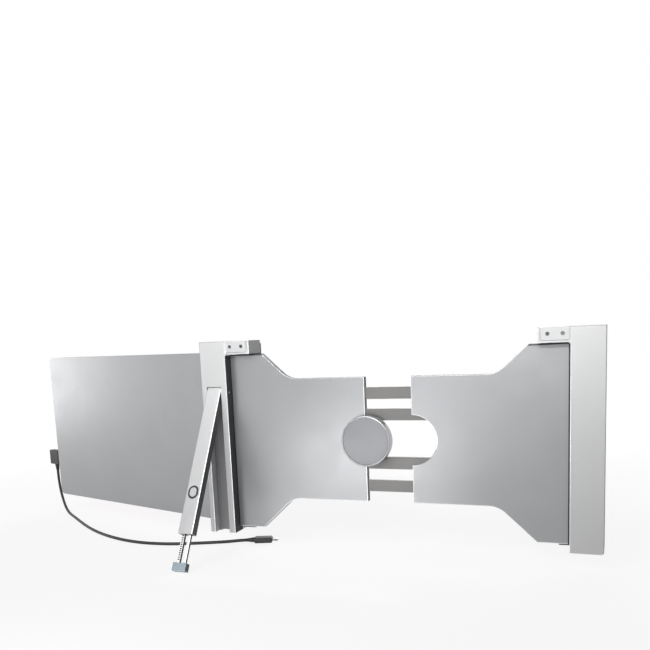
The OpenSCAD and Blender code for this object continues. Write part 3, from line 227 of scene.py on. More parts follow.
# rub: the rounded edges of a piece, broken up where hands and the lid polish them
RUB, rub_in, rub_out = shader_group(
    "rubbed edges", [("Amount", "NodeSocketFloat", 1.0)], ["Mask"])
rub_edge = add_node(RUB, "ShaderNodeAttribute", attribute_name="edge_rub")
rub_place = add_node(RUB, "ShaderNodeTexCoord")
rub_noise = add_node(RUB, "ShaderNodeTexNoise", {"Scale": 90, "Detail": 5})
rub_range = add_node(RUB, "ShaderNodeMapRange", {"From Min": 0.3, "From Max": 0.62})
rub_both = add_node(RUB, "ShaderNodeMath", operation="MULTIPLY")
rub_all = add_node(RUB, "ShaderNodeMath", operation="MULTIPLY")
RUB.links.new(rub_place.outputs["Object"], rub_noise.inputs["Vector"])
RUB.links.new(rub_noise.outputs["Fac"], rub_range.inputs["Value"])
RUB.links.new(rub_edge.outputs["Fac"], rub_both.inputs[0])
RUB.links.new(rub_range.outputs["Result"], rub_both.inputs[1])
RUB.links.new(rub_both.outputs[0], rub_all.inputs[0])
RUB.links.new(rub_in.outputs["Amount"], rub_all.inputs[1])
RUB.links.new(rub_all.outputs[0], rub_out.inputs["Mask"])

# smudge: faint patches that hands leave, which only change the gloss
SMUDGE, smudge_in, smudge_out = shader_group(
    "hand smudges", [("Amount", "NodeSocketFloat", 1.0)], ["Mask"])
smudge_place = add_node(SMUDGE, "ShaderNodeTexCoord")
smudge_noise = add_node(SMUDGE, "ShaderNodeTexNoise",
                        {"Scale": 38, "Detail": 6, "Distortion": 0.6})
smudge_range = add_node(SMUDGE, "ShaderNodeMapRange", {"From Min": 0.46, "From Max": 0.68})
smudge_all = add_node(SMUDGE, "ShaderNodeMath", operation="MULTIPLY")
SMUDGE.links.new(smudge_place.outputs["Object"], smudge_noise.inputs["Vector"])
SMUDGE.links.new(smudge_noise.outputs["Fac"], smudge_range.inputs["Value"])
SMUDGE.links.new(smudge_range.outputs["Result"], smudge_all.inputs[0])
SMUDGE.links.new(smudge_in.outputs["Amount"], smudge_all.inputs[1])
SMUDGE.links.new(smudge_all.outputs[0], smudge_out.inputs["Mask"])


def place_group(tree, group, **values):
    """One of the shared effects, with its own amounts."""
    return add_node(tree, "ShaderNodeGroup", values, node_tree=group)


def mix_colour(tree, share, first, second):
    """Mixes two colours, each a colour or a socket, by a share."""
    mix = add_node(tree, "ShaderNodeMix", data_type="RGBA")
    tree.links.new(share, mix.inputs["Factor"])
    for socket, value in ((mix.inputs[6], first), (mix.inputs[7], second)):
        if isinstance(value, bpy.types.NodeSocket):
            tree.links.new(value, socket)
        else:
            socket.default_value = (*value, 1)
    return mix.outputs[2]


def value_range(tree, value, low, high, start=0.0, end=1.0):
    """Maps a value that runs from start to end onto low to high."""
    spread = add_node(tree, "ShaderNodeMapRange",
                      {"From Min": start, "From Max": end, "To Min": low, "To Max": high})
    tree.links.new(value, spread.inputs["Value"])
    return spread.outputs["Result"]


def summed(tree, first, second):
    """The sum of two values."""
    both = add_node(tree, "ShaderNodeMath", operation="ADD")
    tree.links.new(first, both.inputs[0])
    tree.links.new(second, both.inputs[1])
    return both.outputs[0]


def add_relief(tree, height, strength, depth):
    """Lifts the surface along a height from 0 to 1, by a depth in mm."""
    bump = add_node(tree, "ShaderNodeBump", {"Strength": strength, "Distance": depth * MM})
    tree.links.new(height, bump.inputs["Height"])
    tree.links.new(bump.outputs["Normal"], tree.nodes["Principled BSDF"].inputs["Normal"])


def surface(name, colour, roughness, metallic=0.0, fineness=2500.0, length=(1, 1, 1),
            turn=(0, 0, 0), shade=0.05, gloss=0.06, depth=0.012, rubbed=None, rub=0.6,
            smudges=0.05, coat=0.0):
    """A finish with grain in its colour, gloss and relief, rubbed edges and hand smudges."""
    material = bpy.data.materials.new(name)
    material.use_nodes = True
    tree = material.node_tree
    shader = tree.nodes["Principled BSDF"]
    shader.inputs["Metallic"].default_value = metallic
    shader.inputs["Coat Weight"].default_value = coat
    grain = place_group(tree, GRAIN, Length=length, Turn=turn, Fineness=fineness)
    dark = tuple(c * (1 - shade) for c in colour)
    light = tuple(min(c * (1 + shade), 1) for c in colour)
    even = value_range(tree, summed(tree, grain.outputs["Grain"], grain.outputs["Drift"]),
                       0, 1, 0.7, 1.3)
    base = mix_colour(tree, even, dark, light)
    if rubbed:
        mask = place_group(tree, RUB, Amount=rub)
        base = mix_colour(tree, mask.outputs["Mask"], base, rubbed)
    tree.links.new(base, shader.inputs["Base Color"])
    matt = value_range(tree, grain.outputs["Grain"], roughness - gloss, roughness + gloss,
                       0.3, 0.7)
    spots = place_group(tree, SMUDGE, Amount=smudges)
    tree.links.new(summed(tree, matt, spots.outputs["Mask"]), shader.inputs["Roughness"])
    add_relief(tree, grain.outputs["Grain"], 0.35, depth)
    return material


sheath_black = surface("black cable sheath", (0.022, 0.022, 0.024), 0.46, fineness=1800,
                       depth=0.03, shade=0.15)
plug_black = surface("black moulded plug", (0.026, 0.026, 0.028), 0.42, fineness=2600,
                     depth=0.02, shade=0.12, rubbed=(0.09, 0.09, 0.095), rub=0.5)
shell_steel = surface("plug shell steel", (0.60, 0.61, 0.63), 0.28, 1.0, fineness=900,
                      length=(1, 1, 8), shade=0.08)
cable_data.materials.append(sheath_black)
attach(cable, "monitor")
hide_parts("usb_cable")


def merged_copy(*names):
    """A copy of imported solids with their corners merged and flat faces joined."""
    copy = bmesh.new()
    for name in names:
        copy.from_mesh(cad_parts[name].data)
    bmesh.ops.remove_doubles(copy, verts=copy.verts, dist=1e-6)
    bmesh.ops.dissolve_limit(copy, angle_limit=radians(0.6), verts=copy.verts, edges=copy.edges)
    copy.faces.layers.float.new("edge_rub")
    for face in copy.faces:
        face.material_index = 0
    return copy


def round_edges(mesh, radius, segments=2, pick=lambda edge: True):
    """Rounds the outer edges whose two faces have room for it; gives the new faces."""
    mark = mesh.faces.layers.float["edge_rub"]

    def roomy(face):
        return face.calc_area() > 2.3 * radius * max(e.calc_length() for e in face.edges)

    edges = [e for e in mesh.edges
             if len(e.link_faces) == 2 and e.is_convex and e.calc_face_angle() > radians(35)
             and all(roomy(f) for f in e.link_faces) and pick(e)]
    made = bmesh.ops.bevel(mesh, geom=edges, offset=radius, offset_type="OFFSET",
                           segments=segments, profile=0.5, affect="EDGES",
                           clamp_overlap=True, material=-1)
    for face in made["faces"]:
        face[mark] = 1.0
    return made["faces"]


def chamfer_face(mesh, width, test):
    """Chamfers the outline of the flat faces that pass the test; gives the new faces."""
    faces = [f for f in mesh.faces if test(f)]
    facing = faces[0].normal.copy()
    rim = bmesh.ops.inset_region(mesh, faces=faces, thickness=width,
                                 use_even_offset=True)["faces"]
    mesh.normal_update()
    outline = {v for f in rim for v in f.verts
               if any(abs(g.normal.dot(facing)) < 0.9 for g in v.link_faces)}
    bmesh.ops.translate(mesh, verts=list(outline), vec=facing * -0.8 * width)
    mesh.normal_update()
    return rim


def mid(face):
    """The middle of a face, in mm."""
    return face.calc_center_median() / MM


def paint_faces(mesh, index, test):
    """Gives the faces that pass the test another of the piece's materials."""
    for face in mesh.faces:
        if test(face):
            face.material_index = index


SHARP_EDGE = radians(40)


def make_piece(mesh, name, body, materials, stands_for, place=None):
    """Turns a bmesh into a finished piece that rides on a body."""
    if place is not None:
        bmesh.ops.transform(mesh, matrix=place, verts=mesh.verts)
    for face in mesh.faces:
        face.smooth = True
    for edge in mesh.edges:
        edge.smooth = not (len(edge.link_faces) == 2 and edge.calc_face_angle(0) > SHARP_EDGE)
    data = bpy.data.meshes.new(name)
    mesh.to_mesh(data)
    mesh.free()
    for material in materials:
        data.materials.append(material)
    piece = bpy.data.objects.new(name, data)
    bpy.context.scene.collection.objects.link(piece)
    shading = piece.modifiers.new("even shading", "WEIGHTED_NORMAL")
    shading.keep_sharp = True
    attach(piece, body)
    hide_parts(*stands_for)
    return piece


def plain_piece(name, node, body, material, radius, segments=2, shortest=0.0):
    """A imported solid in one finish, its edges longer than the shortest rounded; all in mm."""
    part = merged_copy(node)
    round_edges(part, radius * MM, segments, lambda e: e.calc_length() > shortest * MM)
    make_piece(part, name, body, [material], [node])


def spun(mesh, outline, centre, axis, out, steps, closed=True):
    """Turns an outline of (radius, height) points, in mm, into a round shape."""
    centre, axis, out = Vector(centre) * MM, Vector(axis), Vector(out)
    verts = [mesh.verts.new(centre + out * (r * MM) + axis * (h * MM)) for r, h in outline]
    pairs = list(zip(verts, verts[1:])) + ([(verts[-1], verts[0])] if closed else [])
    edges = [mesh.edges.new(pair) for pair in pairs]
    bmesh.ops.spin(mesh, geom=verts + edges, cent=centre, axis=axis, dvec=(0, 0, 0),
                   angle=2 * pi, steps=steps, use_merge=True, use_duplicate=False)
    bmesh.ops.remove_doubles(mesh, verts=mesh.verts, dist=2e-6)


def solid_block(mesh, low, high, radius, segments):
    """A block between two corners, in mm, with all its edges rounded."""
    low, high = Vector(low) * MM, Vector(high) * MM
    made = bmesh.ops.create_cube(mesh, size=1.0)["verts"]
    bmesh.ops.scale(mesh, vec=high - low, verts=made)
    bmesh.ops.translate(mesh, vec=(low + high) / 2, verts=made)
    edges = list({e for v in made for e in v.link_edges})
    bmesh.ops.bevel(mesh, geom=edges, offset=radius * MM, offset_type="OFFSET",
                    segments=segments, profile=0.5, affect="EDGES", clamp_overlap=True,
                    material=-1)


def only(kind, geometry):
    """The verts, edges or faces among what an operator made."""
    return [g for g in geometry if isinstance(g, kind)]


BOOT_LENGTH = 9
BOOT_GROOVES = 5
GROOVE_DEPTH = 0.35
PLAIN_START, PLAIN_END = 1.2, 0.6


def boot_outline(thick, thin):
    """A tapered sleeve with grooves that lets the cable bend where it leaves a plug."""
    outline = [(0, 0), (thick, 0)]
    pitch = (BOOT_LENGTH - PLAIN_START - PLAIN_END) / BOOT_GROOVES
    for k in range(BOOT_GROOVES):
        start = PLAIN_START + k * pitch
        here = thick + (thin - thick) * start / BOOT_LENGTH
        after = thick + (thin - thick) * (start + pitch) / BOOT_LENGTH
        outline += [(here, start), (here - GROOVE_DEPTH, start + 0.12),
                    (here - GROOVE_DEPTH, start + 0.45 * pitch),
                    (after + 0.05, start + 0.6 * pitch)]
    return outline + [(thin, BOOT_LENGTH - 0.4), (thin - 0.3, BOOT_LENGTH), (0, BOOT_LENGTH)]


# right-angle plug: body against the monitor's side, boot pointing down
PLUG_INNER, PLUG_OUTER = 337.3, 358.3
PLUG_FLANKS = (2.4, 10.8)
PLUG_FOOT, PLUG_TOP = -55, -35
socket_plug = bmesh.new()
solid_block(socket_plug, (PLUG_INNER, PLUG_FLANKS[0], PLUG_FOOT),
            (PLUG_OUTER, PLUG_FLANKS[1], PLUG_TOP), 1.3, 4)
for side_y in PLUG_FLANKS:
    for rib in range(4):
        z = PLUG_FOOT + 3.8 + rib * 1.75
        solid_block(socket_plug, (PLUG_INNER + 2.1, side_y - 0.25, z),
                    (PLUG_OUTER - 2.1, side_y + 0.25, z + 0.8), 0.2, 2)
spun(socket_plug, boot_outline(3.2, 2.1), (347.8, 6.6, PLUG_FOOT), (0, 0, -1), (1, 0, 0), 32)
solid_block(socket_plug, (330.6, 5.4, -44.1), (337.4, 7.8, -35.9), 1.15, 4)
bmesh.ops.recalc_face_normals(socket_plug, faces=socket_plug.faces)
paint_faces(socket_plug, 1, lambda f: mid(f).x < PLUG_INNER - 0.1)
socket_plug = make_piece(socket_plug, "lead_socket_plug", "monitor",
                         [plug_black, shell_steel], ["angle_plug"], MONITOR)

# straight plug at the laptop's end, lying on the desk
FAR_PLUG = MONITOR @ Matrix.Translation(Vector((-15, -0.6, -118)) * MM) @ Matrix.Rotation(
    radians(217), 4, "Z")
GRIP_END, SHELL_END = 29, 36
GRIP_Y, GRIP_Z = 5.5, 3.2
SHELL_WALL, SHELL_DEPTH = 0.3, 6.2
far_plug = bmesh.new()
spun(far_plug, [(r, BOOT_LENGTH - h) for r, h in boot_outline(3.1, 2.0)], (0, 0, 0), (1, 0, 0),
     (0, 0, 1), 32)
solid_block(far_plug, (BOOT_LENGTH, -GRIP_Y, -GRIP_Z), (GRIP_END, GRIP_Y, GRIP_Z), 1.5, 4)
for side_y in (-GRIP_Y, GRIP_Y):
    for rib in range(5):
        x = 14 + rib * 2.2
        solid_block(far_plug, (x, side_y - 0.1, -1.9), (x + 1, side_y + 0.1, 1.9), 0.08, 2)
bmesh.ops.recalc_face_normals(far_plug, faces=far_plug.faces)
solid_block(far_plug, (GRIP_END - 0.2, -4.12, -1.2), (SHELL_END, 4.12, 1.2), 1.1, 4)
mouth = [f for f in far_plug.faces if mid(f).x > SHELL_END - 0.01 and f.normal.x > 0.9]
bmesh.ops.inset_region(far_plug, faces=mouth, thickness=SHELL_WALL * MM, use_even_offset=True)
pushed = bmesh.ops.extrude_face_region(far_plug, geom=mouth)["geom"]
bmesh.ops.translate(far_plug, vec=(-SHELL_DEPTH * MM, 0, 0),
                    verts=only(bmesh.types.BMVert, pushed))
bmesh.ops.delete(far_plug, geom=[f for f in mouth if f.is_valid], context="FACES_ONLY")
solid_block(far_plug, (GRIP_END + 0.6, -3.3, -0.33), (SHELL_END - 0.8, 3.3, 0.33), 0.1, 2)
paint_faces(far_plug, 1, lambda f: mid(f).x > GRIP_END + 0.1 and abs(mid(f).z) > 0.4
            or mid(f).x > SHELL_END - 0.7)
far_plug = make_piece(far_plug, "lead_far_plug", "monitor",
                      [plug_black, shell_steel], ["straight_plug"], FAR_PLUG)

# ---- Wing plates ----
# Two thin aluminium pressings with a satin anodised face; their side walls are painted dark as
# painted shade. Each lies on the lid with rubber pads under a grey tray, and is screwed to its
# post through the tray's tongue.

anodised = surface("satin anodised sheet", (0.33, 0.334, 0.343), 0.33, 0.75, fineness=3200,
                   shade=0.03, gloss=0.04, depth=0.006)
# painted highlight: a bright colour laid on the chamfers that face the light
painted_edge_highlight = surface("painted edge highlight", (0.88, 0.885, 0.89), 0.26, 0.7, fineness=2600, shade=0.03,
                   gloss=0.04, depth=0.004)
# painted shade: the dark colour of the plates' side walls and of the shadow bands
painted_shade_wall = surface("painted shade side wall", (0.055, 0.057, 0.062), 0.50, fineness=2400, shade=0.12,
                    depth=0.02)
tray_grey = surface("grey tray plastic", (0.085, 0.088, 0.095), 0.55, fineness=1500,
                    shade=0.12, depth=0.04)
pad_black = surface("black rubber pad", (0.028, 0.028, 0.029), 0.72, fineness=1300,
                    shade=0.18, depth=0.06, smudges=0.08)

# painted shadow: a dark band borders each plate under its arm, and the far one beside its post
PLATE_BACK = 8.2
NEAR_JOINT_X = 152.5
SHADOW_BAND_X = -193.6
SHADOW_BAND_Z = 89.7

for side, body in (("a", "bracket"), ("b", "slide_bracket")):
    plate = merged_copy(f"plate_{side}_cover")
    for point, across in (((SHADOW_BAND_X, 0, 0), (1, 0, 0)), ((0, 0, SHADOW_BAND_Z), (0, 0, 1))):
        bmesh.ops.bisect_plane(plate, geom=plate.verts[:] + plate.edges[:] + plate.faces[:],
                               plane_co=Vector(point) * MM, plane_no=across)
    for face in chamfer_face(plate, 0.7 * MM, lambda f: f.normal.y > 0.99
                             and mid(f).y > PLATE_BACK - 0.1):
        # painted shade on the chamfers next to the near post, a painted highlight on the
        # chamfers that don't face up
        at_post = mid(face).x > NEAR_JOINT_X
        face.material_index = 1 if at_post else 0 if face.normal.z > 0.2 else 2
    # painted shade on the side walls, and painted shadow in the bands under the arm and beside
    # the far post
    paint_faces(plate, 1, lambda f: abs(f.normal.y) < 0.2
                or f.normal.y > 0 and (mid(f).z > SHADOW_BAND_Z or mid(f).x < SHADOW_BAND_X))
    make_piece(plate, f"wing_plate_{side}", body,
               [anodised, painted_shade_wall, painted_edge_highlight], [f"plate_{side}_cover"])
    plain_piece(f"wing_tray_{side}", f"plate_{side}_tray", body, tray_grey, 0.2)
    plain_piece(f"lid_pads_{side}", f"plate_{side}_pads", body, pad_black, 0.3)

# ---- Rails ----
# Four flat steel rails join the plates: they are riveted to the far tray and slide in nylon
# guides in the near one. The third rail has teeth cut along its top edge.

rail_steel = surface("brushed rail steel", (0.16, 0.158, 0.155), 0.42, 0.7, fineness=2600,
                     length=(30, 1, 1), shade=0.10, gloss=0.07, depth=0.010,
                     rubbed=(0.50, 0.49, 0.48), rub=0.5)
nylon = surface("natural nylon", (0.74, 0.73, 0.69), 0.45, fineness=1500, shade=0.04)
# painted shade: the floors and flanks of the tooth gaps are painted dark
painted_shade_tooth_gap = surface("painted shade in tooth gaps", (0.020, 0.020, 0.022), 0.5, 0.3, fineness=2600,
                    shade=0.15)
rivet_steel = surface("headed steel pin", (0.50, 0.51, 0.52), 0.32, 1.0, fineness=1700)

TOOTH_FLOOR, TOOTH_TIP = -18.9, -17.3

for name, node in (("plain_rails", "guide_rails"), ("toothed_rail", "rack_rail")):
    rails = merged_copy(node)
    round_edges(rails, 0.25 * MM, 2, lambda e: e.calc_length() > 60 * MM)
    # painted shade in the gaps between the teeth
    paint_faces(rails, 1, lambda f: TOOTH_FLOOR - 0.3 < mid(f).z < TOOTH_TIP - 0.3
                and abs(f.normal.y) < 0.5 and f.calc_area() < 8 * MM ** 2)
    make_piece(rails, name, "slide_bracket", [rail_steel, painted_shade_tooth_gap], [node])

plain_piece("nylon_guides", "rail_guides", "bracket", nylon, 0.4)
plain_piece("rail_pins", "rail_rivets", "slide_bracket", rivet_steel, 0.15)

# ---- Knob ----
# A turned aluminium knob on the near plate's inner edge. Its flatted shaft carries the pinion
# that drives the toothed rail, and runs in two bushes. A flat disc is let into its face.

KNOB_R, SKIRT_R, DISC_R = 25.8, 23.8, 24.0
HUB_R, SHAFT_R = 8.0, 4.0
KNOB_Y = (9.0, 19.0)
WEB_Y = 15.6


def turned_metal(name, colour, roughness, ring_depth):
    """Metal with the fine rings that a lathe tool leaves around the Y axis."""
    material = surface(name, colour, roughness, 1.0, fineness=2200, shade=0.03, depth=0.004)
    tree = material.node_tree
    place = add_node(tree, "ShaderNodeTexCoord")
    flat = add_node(tree, "ShaderNodeMapping", {"Scale": (1, 0, 1)})
    radius = add_node(tree, "ShaderNodeVectorMath", operation="LENGTH")
    rings = add_node(tree, "ShaderNodeTexNoise", {"Scale": 3600, "Detail": 2},
                     noise_dimensions="1D")
    tree.links.new(place.outputs["Object"], flat.inputs["Vector"])
    tree.links.new(flat.outputs["Vector"], radius.inputs[0])
    tree.links.new(radius.outputs["Value"], rings.inputs["W"])
    add_relief(tree, rings.outputs["Fac"], 0.4, ring_depth)
    return material


knob_metal = turned_metal("turned knob aluminium", (0.36, 0.365, 0.375), 0.24, 0.012)
disc_metal = turned_metal("spun knob disc", (0.20, 0.203, 0.21), 0.40, 0.006)
brass = surface("machined brass", (0.62, 0.47, 0.22), 0.30, 1.0, fineness=1400, shade=0.06)
bronze = surface("sintered bronze", (0.45, 0.32, 0.18), 0.48, 1.0, fineness=2600, shade=0.12)
ground_steel = surface("ground steel pin", (0.56, 0.57, 0.58), 0.22, 1.0, fineness=1500)
washer_white = surface("white slide washer", (0.78, 0.78, 0.76), 0.40, fineness=1600)

front, back = KNOB_Y
knob = bmesh.new()
spun(knob, [(SHAFT_R, front), (HUB_R, front), (HUB_R, WEB_Y), (SKIRT_R, WEB_Y),
            (SKIRT_R, front), (25.1, front), (25.5, front + 0.15), (25.7, front + 0.4),
            (KNOB_R, front + 0.8), (KNOB_R, back - 1.1), (25.72, back - 0.7),
            (25.5, back - 0.35), (25.15, back - 0.08), (24.8, back), (24.45, back - 0.05),
            (24.25, back - 0.3), (24.2, back - 1.3), (SHAFT_R, back - 1.3)],
     (0, 0, 0), (0, 1, 0), (1, 0, 0), 128)
bmesh.ops.recalc_face_normals(knob, faces=knob.faces)
make_piece(knob, "knob_shell", "knob", [knob_metal], ["knob_body"])

disc = bmesh.new()
spun(disc, [(0, back - 1.3), (DISC_R, back - 1.3), (DISC_R, back - 0.5),
            (DISC_R - 0.12, back - 0.36), (DISC_R - 0.3, back - 0.3), (0, back - 0.3)],
     (0, 0, 0), (0, 1, 0), (1, 0, 0), 128, closed=False)
bmesh.ops.recalc_face_normals(disc, faces=disc.faces)
make_piece(disc, "knob_disc", "knob", [disc_metal], ["knob_face"])

for name, node, body, slot, material in (
        ("thrust_washer", "knob_washer", "knob", "washer_white", washer_white),
        ("flatted_shaft", "knob_shaft", "knob", "pin_steel", ground_steel),
        ("drive_pinion", "pinion", "knob", "gear_metal", brass),
        ("shaft_bushes", "hub_bushes", "bracket", "bush_bronze", bronze)):
    plain_piece(name, node, body, material, 0.12, segments=1, shortest=1)

# ---- Posts ----
# Two L-shaped aluminium housings with a satin silver finish, whose arms reach over the lid.
# The flank next to the lid is painted black as painted shade, and the arm's top and end, the
# outer side and the channel floor are painted darker as painted shade. The monitor's post has a
# channel for the kickstand, a black cover at the front, and the two hinge blocks.

POST_BACK = 20.0
POST_TOP = 105.5
ARM_UNDER = 91.5
CHANNEL_X, CHANNEL_Y, CHANNEL_TOP = (160, 178.5), (5, 12), 57.9

satin_silver = surface("satin silver finish", (0.62, 0.623, 0.627), 0.42, 0.12, fineness=3000,
                       shade=0.025, gloss=0.05, depth=0.010, rubbed=(0.88, 0.885, 0.89),
                       rub=0.9)
# painted shade: the flank that lies in shade is painted black
painted_shade_flank = surface("painted shade black flank", (0.022, 0.022, 0.024), 0.55, fineness=2200, shade=0.15,
                      depth=0.02)
cover_black = surface("black cover plastic", (0.030, 0.030, 0.033), 0.42, fineness=2000,
                      shade=0.12, depth=0.03, rubbed=(0.10, 0.10, 0.105), rub=0.5)
# painted shade: the channel's floor is painted darker
painted_shade_channel = surface("painted shade channel floor", (0.25, 0.25, 0.26), 0.50, 0.5, fineness=2400,
                       length=(1, 1, 20), shade=0.08)
# painted shade: tops, ends and sides that get less light are painted darker
painted_shade_side = surface("painted shade side metal", (0.33, 0.332, 0.338), 0.46, 0.3, fineness=2600,
                    shade=0.05, depth=0.010)
POST_PAINTS = [satin_silver, painted_shade_flank, painted_shade_side, painted_edge_highlight, painted_shade_channel]


def paint_post(mesh, arm_end, inner, outer):
    """Paints shade on the arm's top and end and the outer side, paints the flank next to the lid
    black as painted shade, and paints a highlight on the rear chamfers that face the light and
    shade on the other rear chamfers."""
    lid_side = 1 if outer < 0 else -1

    def faces_at(face, x):
        return abs(face.normal.x) > 0.9 and abs(mid(face).x - x) < 0.3

    for face in chamfer_face(mesh, 0.55 * MM, lambda f: f.normal.y > 0.99
                             and mid(f).y > POST_BACK - 0.1):
        # rear chamfers towards the lid side or facing down get a painted highlight, the others
        # painted shade
        painted_bright = face.normal.x * lid_side > 0.3 or face.normal.z < -0.3
        face.material_index = 3 if painted_bright else 2
    # painted shade on the arm's top and end and on the outer side
    paint_faces(mesh, 2, lambda f: f.normal.z > 0.9 and mid(f).z > POST_TOP - 0.5
                or faces_at(f, arm_end) or faces_at(f, outer))
    # painted shade: the flank next to the lid is painted black
    paint_faces(mesh, 1, lambda f: f.normal.x * lid_side > 0 and faces_at(f, inner)
                and mid(f).z < ARM_UNDER - 0.5)


post_a = merged_copy("post_a_housing")
paint_post(post_a, 124.3, 153.3, 183.5)
# painted shade on the channel's floor
paint_faces(post_a, 4, lambda f: f.normal.y > 0.5 and mid(f).z < CHANNEL_TOP
            and CHANNEL_X[0] < mid(f).x < CHANNEL_X[1]
            and CHANNEL_Y[0] < mid(f).y < CHANNEL_Y[1])
make_piece(post_a, "monitor_post", "bracket", POST_PAINTS, ["post_a_housing"])

post_b = merged_copy("post_b_housing")
paint_post(post_b, -166.7, -195.7, -225.9)
make_piece(post_b, "far_post", "slide_bracket", POST_PAINTS[:4],
           ["post_b_housing"])

for name, node, body, slot, material, radius in (
        ("far_post_front", "post_b_front_cover", "slide_bracket", "post_silver",
         satin_silver, 0.6),
        ("monitor_post_front", "post_a_front_cover", "bracket", "black_cover",
         cover_black, 0.3),
        ("upper_hinge_block", "hinge_block_top", "bracket", "post_silver", satin_silver, 0.6),
        ("lower_hinge_block", "hinge_block_bottom", "bracket", "post_silver",
         satin_silver, 0.6)):
    plain_piece(name, node, body, material, radius, segments=3, shortest=3)

# ---- Hooks ----
# A black hook hangs from the free end of each arm in front of the lid, lined with rubber. Two
# socket screws through a small inset plate at the arm's back hold it.

hook_black = surface("black hook rubber", (0.024, 0.024, 0.026), 0.50, fineness=1700,
                     shade=0.15, depth=0.04, rubbed=(0.07, 0.07, 0.075), rub=0.5)
screw_dark = surface("dark screw steel", (0.16, 0.165, 0.17), 0.34, 0.9, fineness=1500,
                     shade=0.10, rubbed=(0.42, 0.43, 0.44), rub=0.7)
plate_silver = surface("inset plate silver", (0.60, 0.603, 0.607), 0.44, 0.12, fineness=3000,
                       shade=0.02, depth=0.008, rubbed=(0.84, 0.845, 0.85), rub=0.8)
# painted shadow: the dark line of the gap round the inset plate
painted_gap_shadow = surface("painted gap shadow", (0.16, 0.162, 0.165), 0.6, fineness=2400, shade=0.1)

SCREW_HEAD_R = 1.85
SCREW_HEAD_FRONT, SCREW_HEAD_BACK = POST_BACK - 0.95, POST_BACK - 0.2
SCREW_OFFSET, SCREW_Z = 6.6, 99.6
SOCKET_DEPTH = 0.5


def socket_head(mesh, x, z, back, head_r):
    """A screw head with a hexagonal socket, its top towards the rear."""
    rim = [(0, back - 0.7), (head_r, back - 0.7), (head_r, back - 0.18),
           (head_r - 0.16, back), (head_r * 0.62, back), (head_r * 0.56, back - 0.05)]
    spun(mesh, rim, (x, 0, z), (0, 1, 0), (1, 0, 0), 24, closed=False)
    loop = [e for e in mesh.edges if e.is_boundary]
    hexagon = bmesh.ops.create_circle(mesh, segments=6, radius=head_r * 0.5 * MM)["verts"]
    bmesh.ops.transform(mesh, matrix=Matrix.Translation(Vector((x, back - 0.05, z)) * MM)
                        @ Matrix.Rotation(radians(90), 4, "X"), verts=hexagon)
    inner = list({e for v in hexagon for e in v.link_edges})
    bmesh.ops.bridge_loops(mesh, edges=loop + inner)
    deep = bmesh.ops.extrude_edge_only(mesh, edges=inner)["geom"]
    bmesh.ops.translate(mesh, vec=(0, -SOCKET_DEPTH * MM, 0),
                        verts=only(bmesh.types.BMVert, deep))
    bmesh.ops.contextual_create(mesh, geom=only(bmesh.types.BMEdge, deep))


for side, body, plate_x in (("a", "bracket", 140.0), ("b", "slide_bracket", -182.4)):
    plain_piece(f"lid_hook_{side}", f"hook_{side}", body, hook_black, 0.5,
                segments=3, shortest=2)
    plain_piece(f"hook_lining_{side}", f"hook_{side}_pad", body, pad_black, 0.15)

    inset = merged_copy(f"hook_{side}_cover_plate")
    # the inset plate's rounded rear edges get painted shadow
    for face in round_edges(inset, 0.3 * MM, 2,
                            lambda e: all(v.co.y > (POST_BACK - 0.1) * MM for v in e.verts)):
        face.material_index = 1
    make_piece(inset, f"inset_plate_{side}", body, [plate_silver, painted_gap_shadow],
               [f"hook_{side}_cover_plate"])

    # the plain heads make way for heads with sockets
    screws = merged_copy(f"post_{side}_screws")
    heads = [v for v in screws.verts if v.co.y > SCREW_HEAD_FRONT * MM]
    bmesh.ops.delete(screws, geom=heads, context="VERTS")
    bmesh.ops.holes_fill(screws, edges=[e for e in screws.edges if e.is_boundary], sides=0)
    for x in (plate_x - SCREW_OFFSET, plate_x + SCREW_OFFSET):
        head = bmesh.new()
        socket_head(head, x, SCREW_Z, SCREW_HEAD_BACK, SCREW_HEAD_R)
        bmesh.ops.recalc_face_normals(head, faces=head.faces)
        head_data = bpy.data.meshes.new("head")
        head.to_mesh(head_data)
        head.free()
        screws.from_mesh(head_data)
        bpy.data.meshes.remove(head_data)
    make_piece(screws, f"post_screws_{side}", body, [screw_dark],
               [f"post_{side}_screws"])

# ---- Monitor hinge ----
# A grey aluminium column turns on two steel pins between the hinge blocks, with a friction
# washer at each end. A black leaf screwed to its flat carries the monitor's housing.

column_grey = surface("grey hinge column", (0.36, 0.365, 0.375), 0.36, 0.8, fineness=2400,
                      length=(1, 1, 12), shade=0.06, rubbed=(0.60, 0.61, 0.62), rub=0.6)

plain_piece("hinge_tube", "hinge_column", "monitor", column_grey, 0.35,
            shortest=5)
plain_piece("hinge_strap", "hinge_leaf", "monitor", cover_black, 0.3, shortest=2)
for name, node, body, slot, material in (
        ("hinge_dowels", "hinge_pins", "bracket", "pin_steel", ground_steel),
        ("friction_washers", "hinge_washers", "bracket", "washer_white", washer_white),
        ("strap_screws", "hinge_leaf_screws", "monitor", "screw_grey", screw_dark)):
    plain_piece(name, node, body, material, 0.15)

# ---- Monitor ----
# A flat housing: a satin aluminium back cover and a light front bezel on a dark side frame.
# Between them lie the panel with its tray, the controller board with the three side sockets,
# the power key and a tiny light.

